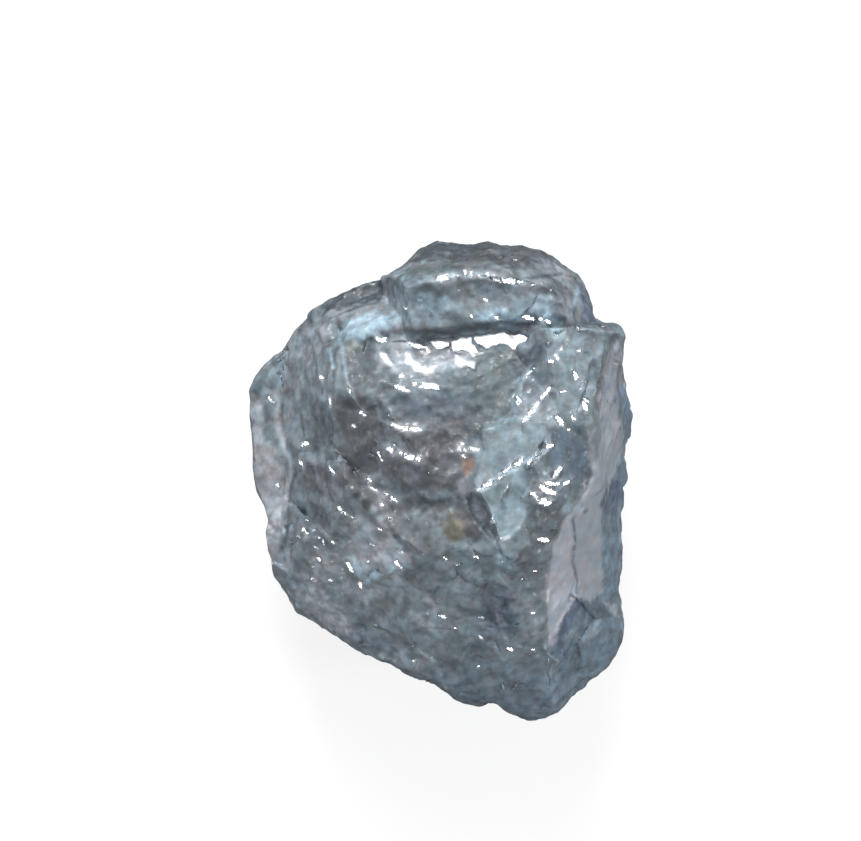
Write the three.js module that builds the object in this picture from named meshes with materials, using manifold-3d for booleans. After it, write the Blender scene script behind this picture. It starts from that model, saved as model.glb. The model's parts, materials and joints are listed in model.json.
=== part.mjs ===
// A rough diamond of just under one carat: one broken, partly grown piece of crystal, lying on its largest
// flat break. Lengths are millimetres and +Z is up. The best side of the stone faces up, with +Y at the top
// of that view.
import * as THREE from "three";
import Module from "manifold-3d";
import { mergeVertices } from "three/addons/utils/BufferGeometryUtils.js";
import { ImprovedNoise } from "three/addons/math/ImprovedNoise.js";
import { TessellateModifier } from "three/addons/modifiers/TessellateModifier.js";

const wasm = await Module();
wasm.setup();

// Driving dimensions
const crown = 4.1; // top of the unbroken pebble above the resting face
const keel = -0.6; // bottom of the unbroken pebble, which the resting face cuts off
const crownSquareness = 3.2; // 2 is a round shoulder, more is a squarer one
const keelSquareness = 2.5;
const pebbleRows = 18;
const rimSmoothing = 5; // rim points averaged on each side, away from the rim itself
const rimFading = 1.6; // how fast the rim's own wobbles fade above and below it
const blockSize = 20; // of the blocks that stand for half of space

// Growth steps
const stepDip = 64;
const treadDip = 14;

// Small breaks scattered over the stone
const pitCount = 330;
const pitDepth = [0.03, 0.09];
const rimPitDepth = 0.035; // near the rim, where a deeper one would change the outline
const rimHeight = 1.8;
const rimBand = 0.6; // above and below the rim
const pitHeadroom = 0.02; // how far a pit reaches above the surface around it
const pitLeans = [[16, 26], [24, 40], [40, 62]]; // of its three walls, in degrees from the surface
const pitTwist = 20; // degrees by which a wall may stray from an even third of a turn
const facingUp = 0.2; // height of the unit normal from which a surface counts as the top

// The triangles of the finished surface
const longestEdge = 0.26;
const shortestEdge = 0.12;
const sliverLength = 0.04;
const strayIfShort = 0.012; // how far the surface may move where a short edge is closed up
const strayIfLong = 0.002; // and where a longer one is, before the surface is divided
const slightArea = 1e-5; // square millimetres, of a triangle too thin to have a direction of its own
const leastAgreement = 0.5; // cosine between a triangle's directions before and after a corner moves
const mergeDistance = 1e-4;
const flatNearRest = 0.25; // height over which the unevenness fades out above the resting face

// The rim: the widest line of the stone, anticlockwise from the left as seen from above. Its third number is
// the height of the rim above the resting face.
const rim = [
  [-2.18, -0.13, 1.58], [-2.07, -0.29, 1.63], [-2.01, -0.44, 1.67], [-2.06, -0.61, 1.7], [-2.06, -0.82, 1.7],
  [-2.02, -1.1, 1.7], [-1.88, -1.27, 1.67], [-1.79, -1.44, 1.63], [-1.69, -1.56, 1.6], [-1.52, -1.65, 1.57],
  [-1.33, -1.81, 1.53], [-1.19, -1.89, 1.51], [-0.95, -2.0, 1.48], [-0.71, -2.11, 1.43], [-0.6, -2.12, 1.4],
  [-0.45, -2.25, 1.34], [-0.24, -2.33, 1.27], [0.0, -2.42, 1.2], [0.12, -2.51, 1.19], [0.27, -2.63, 1.19],
  [0.44, -2.68, 1.18], [0.58, -2.6, 1.17], [0.69, -2.63, 1.16], [0.81, -2.74, 1.16], [0.98, -2.85, 1.15],
  [1.19, -2.88, 1.16], [1.37, -2.8, 1.18], [1.51, -2.64, 1.2], [1.62, -2.5, 1.21], [1.77, -2.35, 1.24],
  [1.94, -2.21, 1.27], [2.11, -2.07, 1.34], [2.17, -1.89, 1.4], [2.15, -1.68, 1.45], [2.1, -1.44, 1.5],
  [2.11, -1.27, 1.54], [2.15, -1.0, 1.6], [2.13, -0.7, 1.67], [2.14, -0.4, 1.73], [2.19, -0.23, 1.77],
  [2.14, -0.07, 1.8], [2.19, 0.01, 1.81], [2.23, 0.15, 1.84], [2.15, 0.3, 1.89], [2.17, 0.44, 1.93],
  [2.26, 0.54, 1.95], [2.29, 0.73, 2.01], [2.25, 1.02, 2.09], [2.18, 1.3, 2.17], [2.14, 1.56, 2.23],
  [2.15, 1.79, 2.27], [2.1, 1.88, 2.3], [1.95, 1.92, 2.25], [1.81, 1.94, 2.2], [1.81, 2.01, 2.25],
  [1.79, 2.18, 2.36], [1.7, 2.35, 2.51], [1.61, 2.5, 2.56], [1.5, 2.55, 2.57], [1.33, 2.69, 2.59],
  [1.17, 2.77, 2.61], [0.95, 2.81, 2.63], [0.71, 2.81, 2.64], [0.55, 2.87, 2.62], [0.36, 2.83, 2.59],
  [0.18, 2.85, 2.56], [-0.05, 2.87, 2.53], [-0.24, 2.77, 2.5], [-0.42, 2.61, 2.45], [-0.58, 2.42, 2.39],
  [-0.77, 2.4, 2.33], [-0.98, 2.35, 2.29], [-1.15, 2.25, 2.26], [-1.36, 2.13, 2.24], [-1.52, 2.04, 2.22],
  [-1.69, 1.88, 2.17], [-1.82, 1.68, 2.09], [-1.9, 1.54, 2.03], [-2.06, 1.43, 1.97], [-2.17, 1.32, 1.92],
  [-2.26, 1.14, 1.84], [-2.25, 0.99, 1.77], [-2.29, 0.79, 1.68], [-2.26, 0.49, 1.59], [-2.24, 0.15, 1.56],
];

// The breaks. Each is one or more flat faces, and what lies outside all of them at once is gone. One face
// alone is a cleavage plane, two make a ledge or a groove, three a notch. A face goes through a point of the
// stone, dips by an angle from the level and looks toward a bearing, both in degrees, with 0 at +X and 90 at
// +Y.
const capFoot = { at: [0.2, 1.74, 3.12], dip: 66, toward: -84 };
const capLeft = { at: [-0.52, 2.4, 3.2], dip: 74, toward: 190 };
const lowSlope = { at: [0.2, 1.26, 3.333], dip: 12, toward: 97 };
const capSide = { at: [0.3, 1.79, 3.5], dip: 85, toward: 90 };
const middleFloor = { at: [0.45, -0.1, 3.58], dip: 4, toward: 265 };
const innerStepsEnd = { at: [-1.7, 0.1, 2.3], dip: 75, toward: 70 };
const outerStepsEnd = { at: [-1.9, -0.2, 2.0], dip: 75, toward: 70 };
const leftStripEnd = { at: [-1.95, -0.97, 1.9], dip: 75, toward: 70 };
const skinEnd = { at: [1.9, -1.42, 2.6], dip: 74, toward: -100 };
const lobeLeft = { at: [1.42, -1.7, 2.6], dip: 62, toward: -20 };
const breaks = [
  // the two pale plates, which meet in a low ridge
  [{ at: [0.9, 0.17, 3.78], dip: 13, toward: -59 }],
  [{ at: [0.9, 0.17, 3.78], dip: 8, toward: 121 }, { at: [0.2, 1.74, 3.12], dip: 80, toward: -84 }],
  // the dark middle, a step lower than the plates
  [middleFloor, { at: [0.48, 0.2, 3.6], dip: 62, toward: 184 }],
  [middleFloor, { at: [0.5, -0.22, 3.6], dip: 70, toward: 202 }],
  // the groove under the cap: its far wall, the bright slope that climbs out of it and its right end
  [capFoot, { at: [0.2, 1.74, 3.12], dip: 24, toward: 97 }, { at: [1.05, 1.5, 3.4], dip: 40, toward: 190 }],
  // where that slope flattens out, up to the curved rim of the plates
  [capFoot, lowSlope, { at: [0.94, 0.96, 3.5], dip: 50, toward: 159 }],
  [
    capFoot,
    lowSlope,
    { at: [0.64, 0.62, 3.5], dip: 50, toward: 116 },
    { at: [0.83, 0.73, 3.5], dip: 85, toward: 180 },
  ],
  // the cap: its front, its far side and its right end
  [{ at: [0.3, 2.43, 3.6], dip: 19, toward: -87 }, capSide],
  [{ at: [0.3, 2.43, 3.6], dip: 46, toward: 92 }],
  [{ at: [1.45, 2.1, 3.45], dip: 56, toward: 14 }, capSide],
  // the left shoulder, below the left end of the cap
  [{ at: [-1.0, 2.0, 2.9], dip: 24, toward: 125 }, capLeft],
  // the left flank, down from a short ridge
  [{ at: [-1.02, 1.1, 3.25], dip: 26, toward: 192 }, { at: [-0.9, 0.0, 3.2], dip: 40, toward: 61 }],
  // the lower left, its outer flank and the corner between them
  [{ at: [-1.0, -0.6, 3.25], dip: 27, toward: 215 }],
  [{ at: [-1.3, -1.2, 3.0], dip: 50, toward: 230 }],
  [{ at: [-1.75, -0.7, 2.6], dip: 62, toward: 190 }],
  // the lower face and its outer flanks
  [{ at: [-0.89, -1.24, 3.11], dip: 33.5, toward: 254 }],
  [{ at: [-0.89, -1.24, 3.01], dip: 33.5, toward: 254 }, { at: [-0.39, -1.07, 3.3], dip: 62, toward: -71 }],
  [{ at: [-0.2, -2.0, 2.75], dip: 48, toward: 219 }],
  [{ at: [0.2, -1.95, 2.92], dip: 48, toward: 272 }],
  [{ at: [0.9, -2.2, 2.6], dip: 42, toward: 285 }],
  [{ at: [1.05, -1.7, 2.95], dip: 38, toward: -50 }],
  // the right slope, the right shoulder, the smooth grown skin in two bends and the steep edge beyond it
  [{ at: [1.2, 0.3, 3.7], dip: 36, toward: -12 }],
  [{ at: [1.3, 1.0, 3.6], dip: 24, toward: 15 }, { at: [1.3, 1.95, 3.6], dip: 85, toward: -90 }],
  [{ at: [1.79, 0.13, 3.2], dip: 60, toward: -8 }],
  [{ at: [1.25, -1.12, 3.19], dip: 57, toward: -23 }],
  [{ at: [1.95, -0.6, 2.5], dip: 76, toward: -4 }],
  // the lower right lobe, a step below the end of the skin, rounded by four faces
  [{ at: [1.75, -1.47, 2.0], dip: 24, toward: 100 }, skinEnd, lobeLeft],
  [{ at: [1.65, -1.8, 2.2], dip: 14, toward: -50 }, skinEnd, lobeLeft],
  [{ at: [1.88, -1.8, 2.05], dip: 46, toward: -8 }, skinEnd, lobeLeft],
  [{ at: [1.7, -2.05, 2.05], dip: 44, toward: -72 }, skinEnd, lobeLeft],
  // under the rim, all the way round
  [{ at: [2.1, -0.7, 1.35], dip: 118, toward: -12 }],
  [{ at: [1.3, -2.5, 0.95], dip: 125, toward: -65 }],
  [{ at: [-0.2, -2.25, 1.0], dip: 122, toward: -112 }],
  [{ at: [-1.9, -1.2, 1.35], dip: 120, toward: -148 }],
  [{ at: [-2.2, 0.5, 1.2], dip: 116, toward: 176 }],
  [{ at: [-1.6, 1.75, 1.6], dip: 118, toward: 140 }],
  [{ at: [0.3, 2.75, 1.9], dip: 114, toward: 92 }],
  [{ at: [1.7, 2.1, 1.8], dip: 117, toward: 48 }],
];

// Growth steps that follow the left rim, an inner and an outer one, each in short runs. A run has the foot of
// its step, the bearing the step looks toward and the face where the run ends.
const growthSteps = [
  { foot: [-0.95, 1.93, 2.72], toward: 112, end: capLeft },
  { foot: [-1.43, 1.54, 2.68], toward: 138, end: capLeft },
  { foot: [-1.62, 1.0, 2.7], toward: 164, end: innerStepsEnd },
  { foot: [-1.64, 0.4, 2.62], toward: 187, end: innerStepsEnd },
  { foot: [-1.07, 2.14, 2.42], toward: 112, end: capLeft },
  { foot: [-1.66, 1.69, 2.32], toward: 138, end: capLeft },
  { foot: [-1.86, 0.95, 2.0], toward: 168, end: outerStepsEnd },
  { foot: [-1.86, 0.25, 1.92], toward: 190, end: outerStepsEnd },
  { foot: [-1.88, -0.4, 1.86], toward: 179, end: leftStripEnd },
];

// Smooth parts of the top, where few small breaks show: centre and radius as seen from above.
const smoothParts = [
  { centre: [0.8, 0.5], radius: 0.75 },
  { centre: [0.85, -0.35], radius: 0.45 },
  { centre: [0.2, 1.4], radius: 0.95 },
  { centre: [-0.2, 0.4], radius: 0.75 },
  { centre: [-1.3, 1.0], radius: 0.65 },
  { centre: [-0.3, -0.65], radius: 0.5 },
  { centre: [-2.1, 0.4], radius: 0.45 },
  { centre: [1.6, -0.9], radius: 0.6 },
  { centre: [1.95, 0.4], radius: 0.5 },
  { centre: [1.8, -1.8], radius: 0.5 },
];

// Unevenness of the broken surface: how far it strays upright and sideways, and over what length
const waves = [
  { upright: 0.08, sideways: 0.05, length: 0.9 },
  { upright: 0.02, sideways: 0.02, length: 0.35 },
];

let seed = 11;
function random(low = 0, high = 1) {
  seed = (seed * 16807) % 2147483647;
  return low + ((high - low) * seed) / 2147483647;
}

function solidOf(geometry) {
  const bare = new THREE.BufferGeometry().setAttribute("position", geometry.attributes.position);
  bare.setIndex(geometry.index);
  const merged = mergeVertices(bare, mergeDistance);
  return new wasm.Manifold(new wasm.Mesh({
    numProp: 3,
    vertProperties: new Float32Array(merged.attributes.position.array),
    triVerts: new Uint32Array(merged.index.array),
  }));
}

function geometryOf(solid) {
  const mesh = solid.getMesh();
  const geometry = new THREE.BufferGeometry();
  geometry.setAttribute("position", new THREE.BufferAttribute(mesh.vertProperties, mesh.numProp));
  geometry.setIndex(new THREE.BufferAttribute(mesh.triVerts, 1));
  return geometry;
}

function smoothedRim(index) {
  const mean = new THREE.Vector3();
  for (let step = -rimSmoothing; step <= rimSmoothing; step += 1) {
    mean.add(new THREE.Vector3(...rim.at((index + step) % rim.length)));
  }
  return mean.divideScalar(2 * rimSmoothing + 1);
}

// The stone before it broke: a rounded pebble whose widest line is the rim.
function pebble() {
  const geometry = new THREE.SphereGeometry(1, rim.length, pebbleRows);
  const position = geometry.attributes.position;
  for (let index = 0; index < position.count; index += 1) {
    const column = (index % (rim.length + 1)) % rim.length;
    const row = Math.floor(index / (rim.length + 1));
    const latitude = Math.PI * (0.5 - row / pebbleRows);
    const up = latitude > 0;
    const power = 2 / (up ? crownSquareness : keelSquareness);
    const across = Math.abs(Math.cos(latitude)) ** power;
    const along = Math.abs(Math.sin(latitude)) ** power;
    const calm = Math.min(1, rimFading * along);
    const place = new THREE.Vector3(...rim[column]).lerp(smoothedRim(column), calm);
    const pole = up ? crown : keel;
    position.setXYZ(index, place.x * across, place.y * across, THREE.MathUtils.lerp(place.z, pole, along));
  }
  return solidOf(geometry);
}

// Everything outside a face that lies at a point and is turned from looking straight up.
function outside(at, turn) {
  const block = new THREE.BoxGeometry(blockSize, blockSize, blockSize).translate(0, 0, blockSize / 2);
  return solidOf(block.applyQuaternion(turn).translate(...at));
}

function turned(dip, toward) {
  const angles = new THREE.Euler(0, THREE.MathUtils.degToRad(dip), THREE.MathUtils.degToRad(toward), "ZYX");
  return new THREE.Quaternion().setFromEuler(angles);
}

function outsideFace({ at, dip, toward }) {
  return outside(at, turned(dip, toward));
}

function without(stone, pieces) {
  return stone.subtract(pieces.reduce((all, next) => all.intersect(next)));
}

// Gives points of the surface, picked by chance, each with its outward normal.
function placesOn(geometry) {
  const position = geometry.toNonIndexed().attributes.position;
  const triangles = [];
  let total = 0;
  for (let first = 0; first < position.count; first += 3) {
    const corners = [0, 1, 2].map((k) => new THREE.Vector3().fromBufferAttribute(position, first + k));
    const triangle = new THREE.Triangle(...corners);
    total += triangle.getArea();
    triangles.push({ triangle, total });
  }
  return () => {
    const chance = random(0, total);
    const { triangle } = triangles.find((entry) => entry.total >= chance);
    const share = random();
    const rest = random() * (1 - share);
    const at = triangle.a.clone().multiplyScalar(1 - share - rest);
    at.addScaledVector(triangle.b, share).addScaledVector(triangle.c, rest);
    return { at, normal: triangle.getNormal(new THREE.Vector3()) };
  };
}

// A small break with three walls of unequal lean, which meet below the surface and end a little above it.
function pitAt({ at, normal }) {
  const nearRim = Math.abs(at.z - rimHeight) < rimBand;
  const depth = nearRim ? rimPitDepth : random(...pitDepth);
  const foot = at.clone().addScaledVector(normal, -depth);
  const top = at.clone().addScaledVector(normal, pitHeadroom);
  const upright = new THREE.Quaternion().setFromUnitVectors(new THREE.Vector3(0, 0, 1), normal);
  const start = random(0, 360);
  const walls = pitLeans.map((leans, side) => {
    const bearing = start + 120 * side + random(-pitTwist, pitTwist);
    return outside(foot.toArray(), upright.clone().multiply(turned(random(...leans), bearing)));
  });
  return [...walls, outside(top.toArray(), upright.clone().multiply(turned(180, 0)))];
}

let stone = pebble();
for (const { foot, toward, end } of growthSteps) {
  breaks.push([{ at: foot, dip: treadDip, toward }, { at: foot, dip: stepDip, toward }, end]);
}
for (const faces of breaks) {
  stone = without(stone, faces.map(outsideFace));
}
const pick = placesOn(geometryOf(stone));
for (let count = 0; count < pitCount; count += 1) {
  const place = pick();
  const smooth = smoothParts.some(({ centre, radius }) => (
    place.normal.z > facingUp && Math.hypot(place.at.x - centre[0], place.at.y - centre[1]) < radius
  ));
  if (!smooth) stone = without(stone, pitAt(place));
}
stone = stone.subtract(outsideFace({ at: [0, 0, 0], dip: 180, toward: 0 }));

// How far a point lies from the planes of some triangles, or Infinity if moving their corner there folds one
// over.
function strayOf(corner, goal, triangles, points) {
  let stray = 0;
  for (const triangle of triangles) {
    const moved = triangle.map((vertex) => (vertex === corner ? goal : vertex));
    const before = new THREE.Triangle(...triangle.map((vertex) => points[vertex]));
    const after = new THREE.Triangle(...moved.map((vertex) => points[vertex]));
    const normal = before.getNormal(new THREE.Vector3());
    const reach = Math.abs(normal.dot(points[goal].clone().sub(points[corner])));
    if (before.getArea() > slightArea) {
      stray = Math.max(stray, reach);
      const folds = normal.dot(after.getNormal(new THREE.Vector3())) < leastAgreement;
      if (folds && after.getArea() > slightArea) return Infinity;
    }
  }
  return stray;
}

// Joins the ends of edges where that hardly moves the surface, which clears away the slivers of the breaks.
function cleaned(geometry, shortLength, longStray) {
  const position = geometry.attributes.position;
  const points = Array.from({ length: position.count }, (_, index) => (
    new THREE.Vector3().fromBufferAttribute(position, index)
  ));
  let triangles = Array.from({ length: geometry.index.count / 3 }, (_, index) => (
    [0, 1, 2].map((k) => geometry.index.getX(3 * index + k))
  ));
  let joined = 1;
  while (joined > 0) {
    joined = 0;
    const around = points.map(() => []);
    triangles.forEach((triangle) => triangle.forEach((vertex) => around[vertex].push(triangle)));
    const ring = (vertex) => new Set(around[vertex].flat());
    const edges = triangles.flatMap(([a, b, c]) => [[a, b], [b, c], [c, a]]);
    const lengths = new Map(edges.map((edge) => [edge, points[edge[0]].distanceTo(points[edge[1]])]));
    const candidates = edges.filter((edge) => longStray > 0 || lengths.get(edge) < shortLength);
    candidates.sort((one, other) => lengths.get(one) - lengths.get(other));
    const busy = new Set();
    for (const edge of candidates) {
      const [from, to] = edge;
      const near = [...ring(from), ...ring(to)];
      const shared = [...ring(from)].filter((vertex) => !edge.includes(vertex) && ring(to).has(vertex));
      const limit = lengths.get(edge) < shortLength ? strayIfShort : longStray;
      const moved = around[from].filter((triangle) => !triangle.includes(to));
      const closed = around[from].filter((triangle) => triangle.includes(to));
      const free = shared.length === 2 && !near.some((vertex) => busy.has(vertex));
      if (free && strayOf(from, to, moved, points) < limit) {
        near.forEach((vertex) => busy.add(vertex));
        moved.forEach((triangle) => triangle.splice(triangle.indexOf(from), 1, to));
        closed.forEach((triangle) => triangle.fill(-1));
        joined += 1;
      }
    }
    triangles = triangles.filter((triangle) => triangle[0] >= 0);
  }
  const clean = new THREE.BufferGeometry().setFromPoints(points);
  clean.setIndex(triangles.flat());
  return clean;
}

const noise = new ImprovedNoise();

function uneven(geometry) {
  const fine = geometry.toNonIndexed();
  const position = fine.attributes.position;
  for (let index = 0; index < position.count; index += 1) {
    const from = new THREE.Vector3().fromBufferAttribute(position, index);
    const to = from.clone();
    const fade = THREE.MathUtils.smoothstep(from.z, 0, flatNearRest);
    waves.forEach(({ upright, sideways, length }, order) => {
      const at = from.clone().divideScalar(length).addScalar(17 * (order + 1));
      to.x += fade * sideways * noise.noise(at.x, at.y, at.z);
      to.y += fade * sideways * noise.noise(at.y + 5, at.z, at.x);
      to.z += fade * upright * noise.noise(at.z, at.x + 9, at.y);
    });
    position.setXYZ(index, to.x, to.y, to.z);
  }
  return fine;
}

const broken = cleaned(geometryOf(stone), sliverLength, strayIfLong);
const divided = new TessellateModifier(longestEdge, 12).modify(broken.toNonIndexed());
const rough = uneven(cleaned(mergeVertices(divided, mergeDistance), shortestEdge, 0));
rough.computeBoundingBox();
const middle = rough.boundingBox.getCenter(new THREE.Vector3());
rough.translate(-middle.x, -middle.y, -rough.boundingBox.min.z);
rough.computeVertexNormals();

const crystal = new THREE.MeshStandardMaterial({ color: 0x8795a0, roughness: 0.3, metalness: 0 });
const diamond = new THREE.Mesh(rough, crystal);
diamond.name = "rough_diamond";

const group = new THREE.Group();
group.name = "rough_diamond_stone";
group.add(diamond);

export default group;
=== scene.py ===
# %% [markdown]
# # A rough blue-grey diamond, 5.7 mm long
#
# The object is one natural crystal: a cloudy, blue-grey diamond, broken on nearly every side. The frame
# holds its true size and its main faces as flat triangles. This notebook turns a copy of that solid into
# the stone as the eye sees it: rounded arrises, rippled and hackly breaks, growth lines, glints, clouds,
# stains and one duller skin. All work is done on one mesh, because the stone is one piece.

# %% Load the frame
import json
import math

import bpy
import numpy as np
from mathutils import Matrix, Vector

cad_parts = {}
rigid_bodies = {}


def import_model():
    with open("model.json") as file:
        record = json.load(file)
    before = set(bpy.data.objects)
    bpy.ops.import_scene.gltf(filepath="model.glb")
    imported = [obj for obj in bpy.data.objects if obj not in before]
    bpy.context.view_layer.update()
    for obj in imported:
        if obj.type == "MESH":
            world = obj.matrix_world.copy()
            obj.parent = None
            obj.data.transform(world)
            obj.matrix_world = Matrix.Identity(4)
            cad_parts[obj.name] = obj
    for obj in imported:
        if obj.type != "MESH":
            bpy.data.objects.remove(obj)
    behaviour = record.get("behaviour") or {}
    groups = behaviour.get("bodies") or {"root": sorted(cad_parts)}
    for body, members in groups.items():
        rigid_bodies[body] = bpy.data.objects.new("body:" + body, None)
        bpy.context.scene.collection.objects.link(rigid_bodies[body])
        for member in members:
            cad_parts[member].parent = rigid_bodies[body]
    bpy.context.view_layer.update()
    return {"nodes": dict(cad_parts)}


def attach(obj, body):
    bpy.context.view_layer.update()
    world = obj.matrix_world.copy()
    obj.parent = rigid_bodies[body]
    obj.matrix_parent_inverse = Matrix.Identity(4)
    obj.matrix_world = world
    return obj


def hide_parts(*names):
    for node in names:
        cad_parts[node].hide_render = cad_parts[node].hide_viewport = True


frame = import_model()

# %% [markdown]
# ## A copy of the solid, in millimetres
#
# A stone this small is awkward to model in metres, because every width would be a number such as
# 0.00003. So the copy is scaled up a thousand times while it is shaped, and every size below is in
# millimetres, with the origin in the middle of the resting face, +Y towards the cap and +X towards the
# smooth skin. The solid is loose triangles, so its doubles are merged first.

# %% Copy the stone and scale it up
MM = 0.001


def select_only(thing):
    bpy.ops.object.select_all(action="DESELECT")
    thing.select_set(True)
    bpy.context.view_layer.objects.active = thing


cad_stone = frame["nodes"]["rough_diamond"]
select_only(cad_stone)
bpy.ops.object.duplicate()
stone = bpy.context.active_object
stone.name = "diamond_crystal"
stone.data.name = "diamond_crystal"
bpy.ops.object.parent_clear(type="CLEAR_KEEP_TRANSFORM")
bpy.ops.transform.resize(value=(1 / MM, 1 / MM, 1 / MM), center_override=(0, 0, 0))
bpy.ops.object.transform_apply(location=True, rotation=True, scale=True)
bpy.ops.mesh.customdata_custom_splitnormals_clear()
print("the copy measures", [round(side, 3) for side in stone.dimensions], "mm")

# %% Merge the loose triangles
bpy.ops.object.mode_set(mode="EDIT")
bpy.ops.mesh.select_all(action="SELECT")
bpy.ops.mesh.remove_doubles(threshold=0.0005)
bpy.ops.object.mode_set(mode="OBJECT")
print(len(stone.data.vertices), "corners and", len(stone.data.polygons), "triangles")

# %% [markdown]
# ## Arrises that stay crisp, faces that run smooth
#
# Where two breaks meet, a diamond keeps a sharp arris, but a single break is one gently waved surface.
# The solid shows both as edges between triangles. A bevel on each sharp edge would give all arrises one
# width and leave the shallow edges standing. So edges that turn sharply get a crease, and subdivision
# then keeps them tight while it melts the shallow ones away. A crease below 1 leaves each arris a tiny
# radius, which is what catches the light along it.

# %% Crease the sharp edges
SHARP_TURN = math.radians(27)
CREASE = 0.5

bpy.ops.object.mode_set(mode="EDIT")
bpy.ops.mesh.select_mode(type="EDGE")
bpy.ops.mesh.select_all(action="DESELECT")
bpy.ops.mesh.edges_select_sharp(sharpness=SHARP_TURN)
bpy.ops.transform.edge_crease(value=CREASE)
bpy.ops.mesh.select_all(action="DESELECT")
bpy.ops.object.mode_set(mode="OBJECT")
print(sum(item.value > 0 for item in stone.data.attributes["crease_edge"].data), "sharp edges creased")

# %% Subdivide
LEVELS = 3


def add_modifier(kind, name, **settings):
    """Adds a modifier, sets it up and applies it."""
    select_only(stone)
    bpy.ops.object.modifier_add(type=kind)
    modifier = stone.modifiers[-1]
    modifier.name = name
    for key, value in settings.items():
        setattr(modifier, key, value)
    bpy.ops.object.modifier_apply(modifier=name)


add_modifier("SUBSURF", "melt the shallow edges", levels=LEVELS, render_levels=LEVELS)
print(len(stone.data.polygons), "faces after subdivision")
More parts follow.
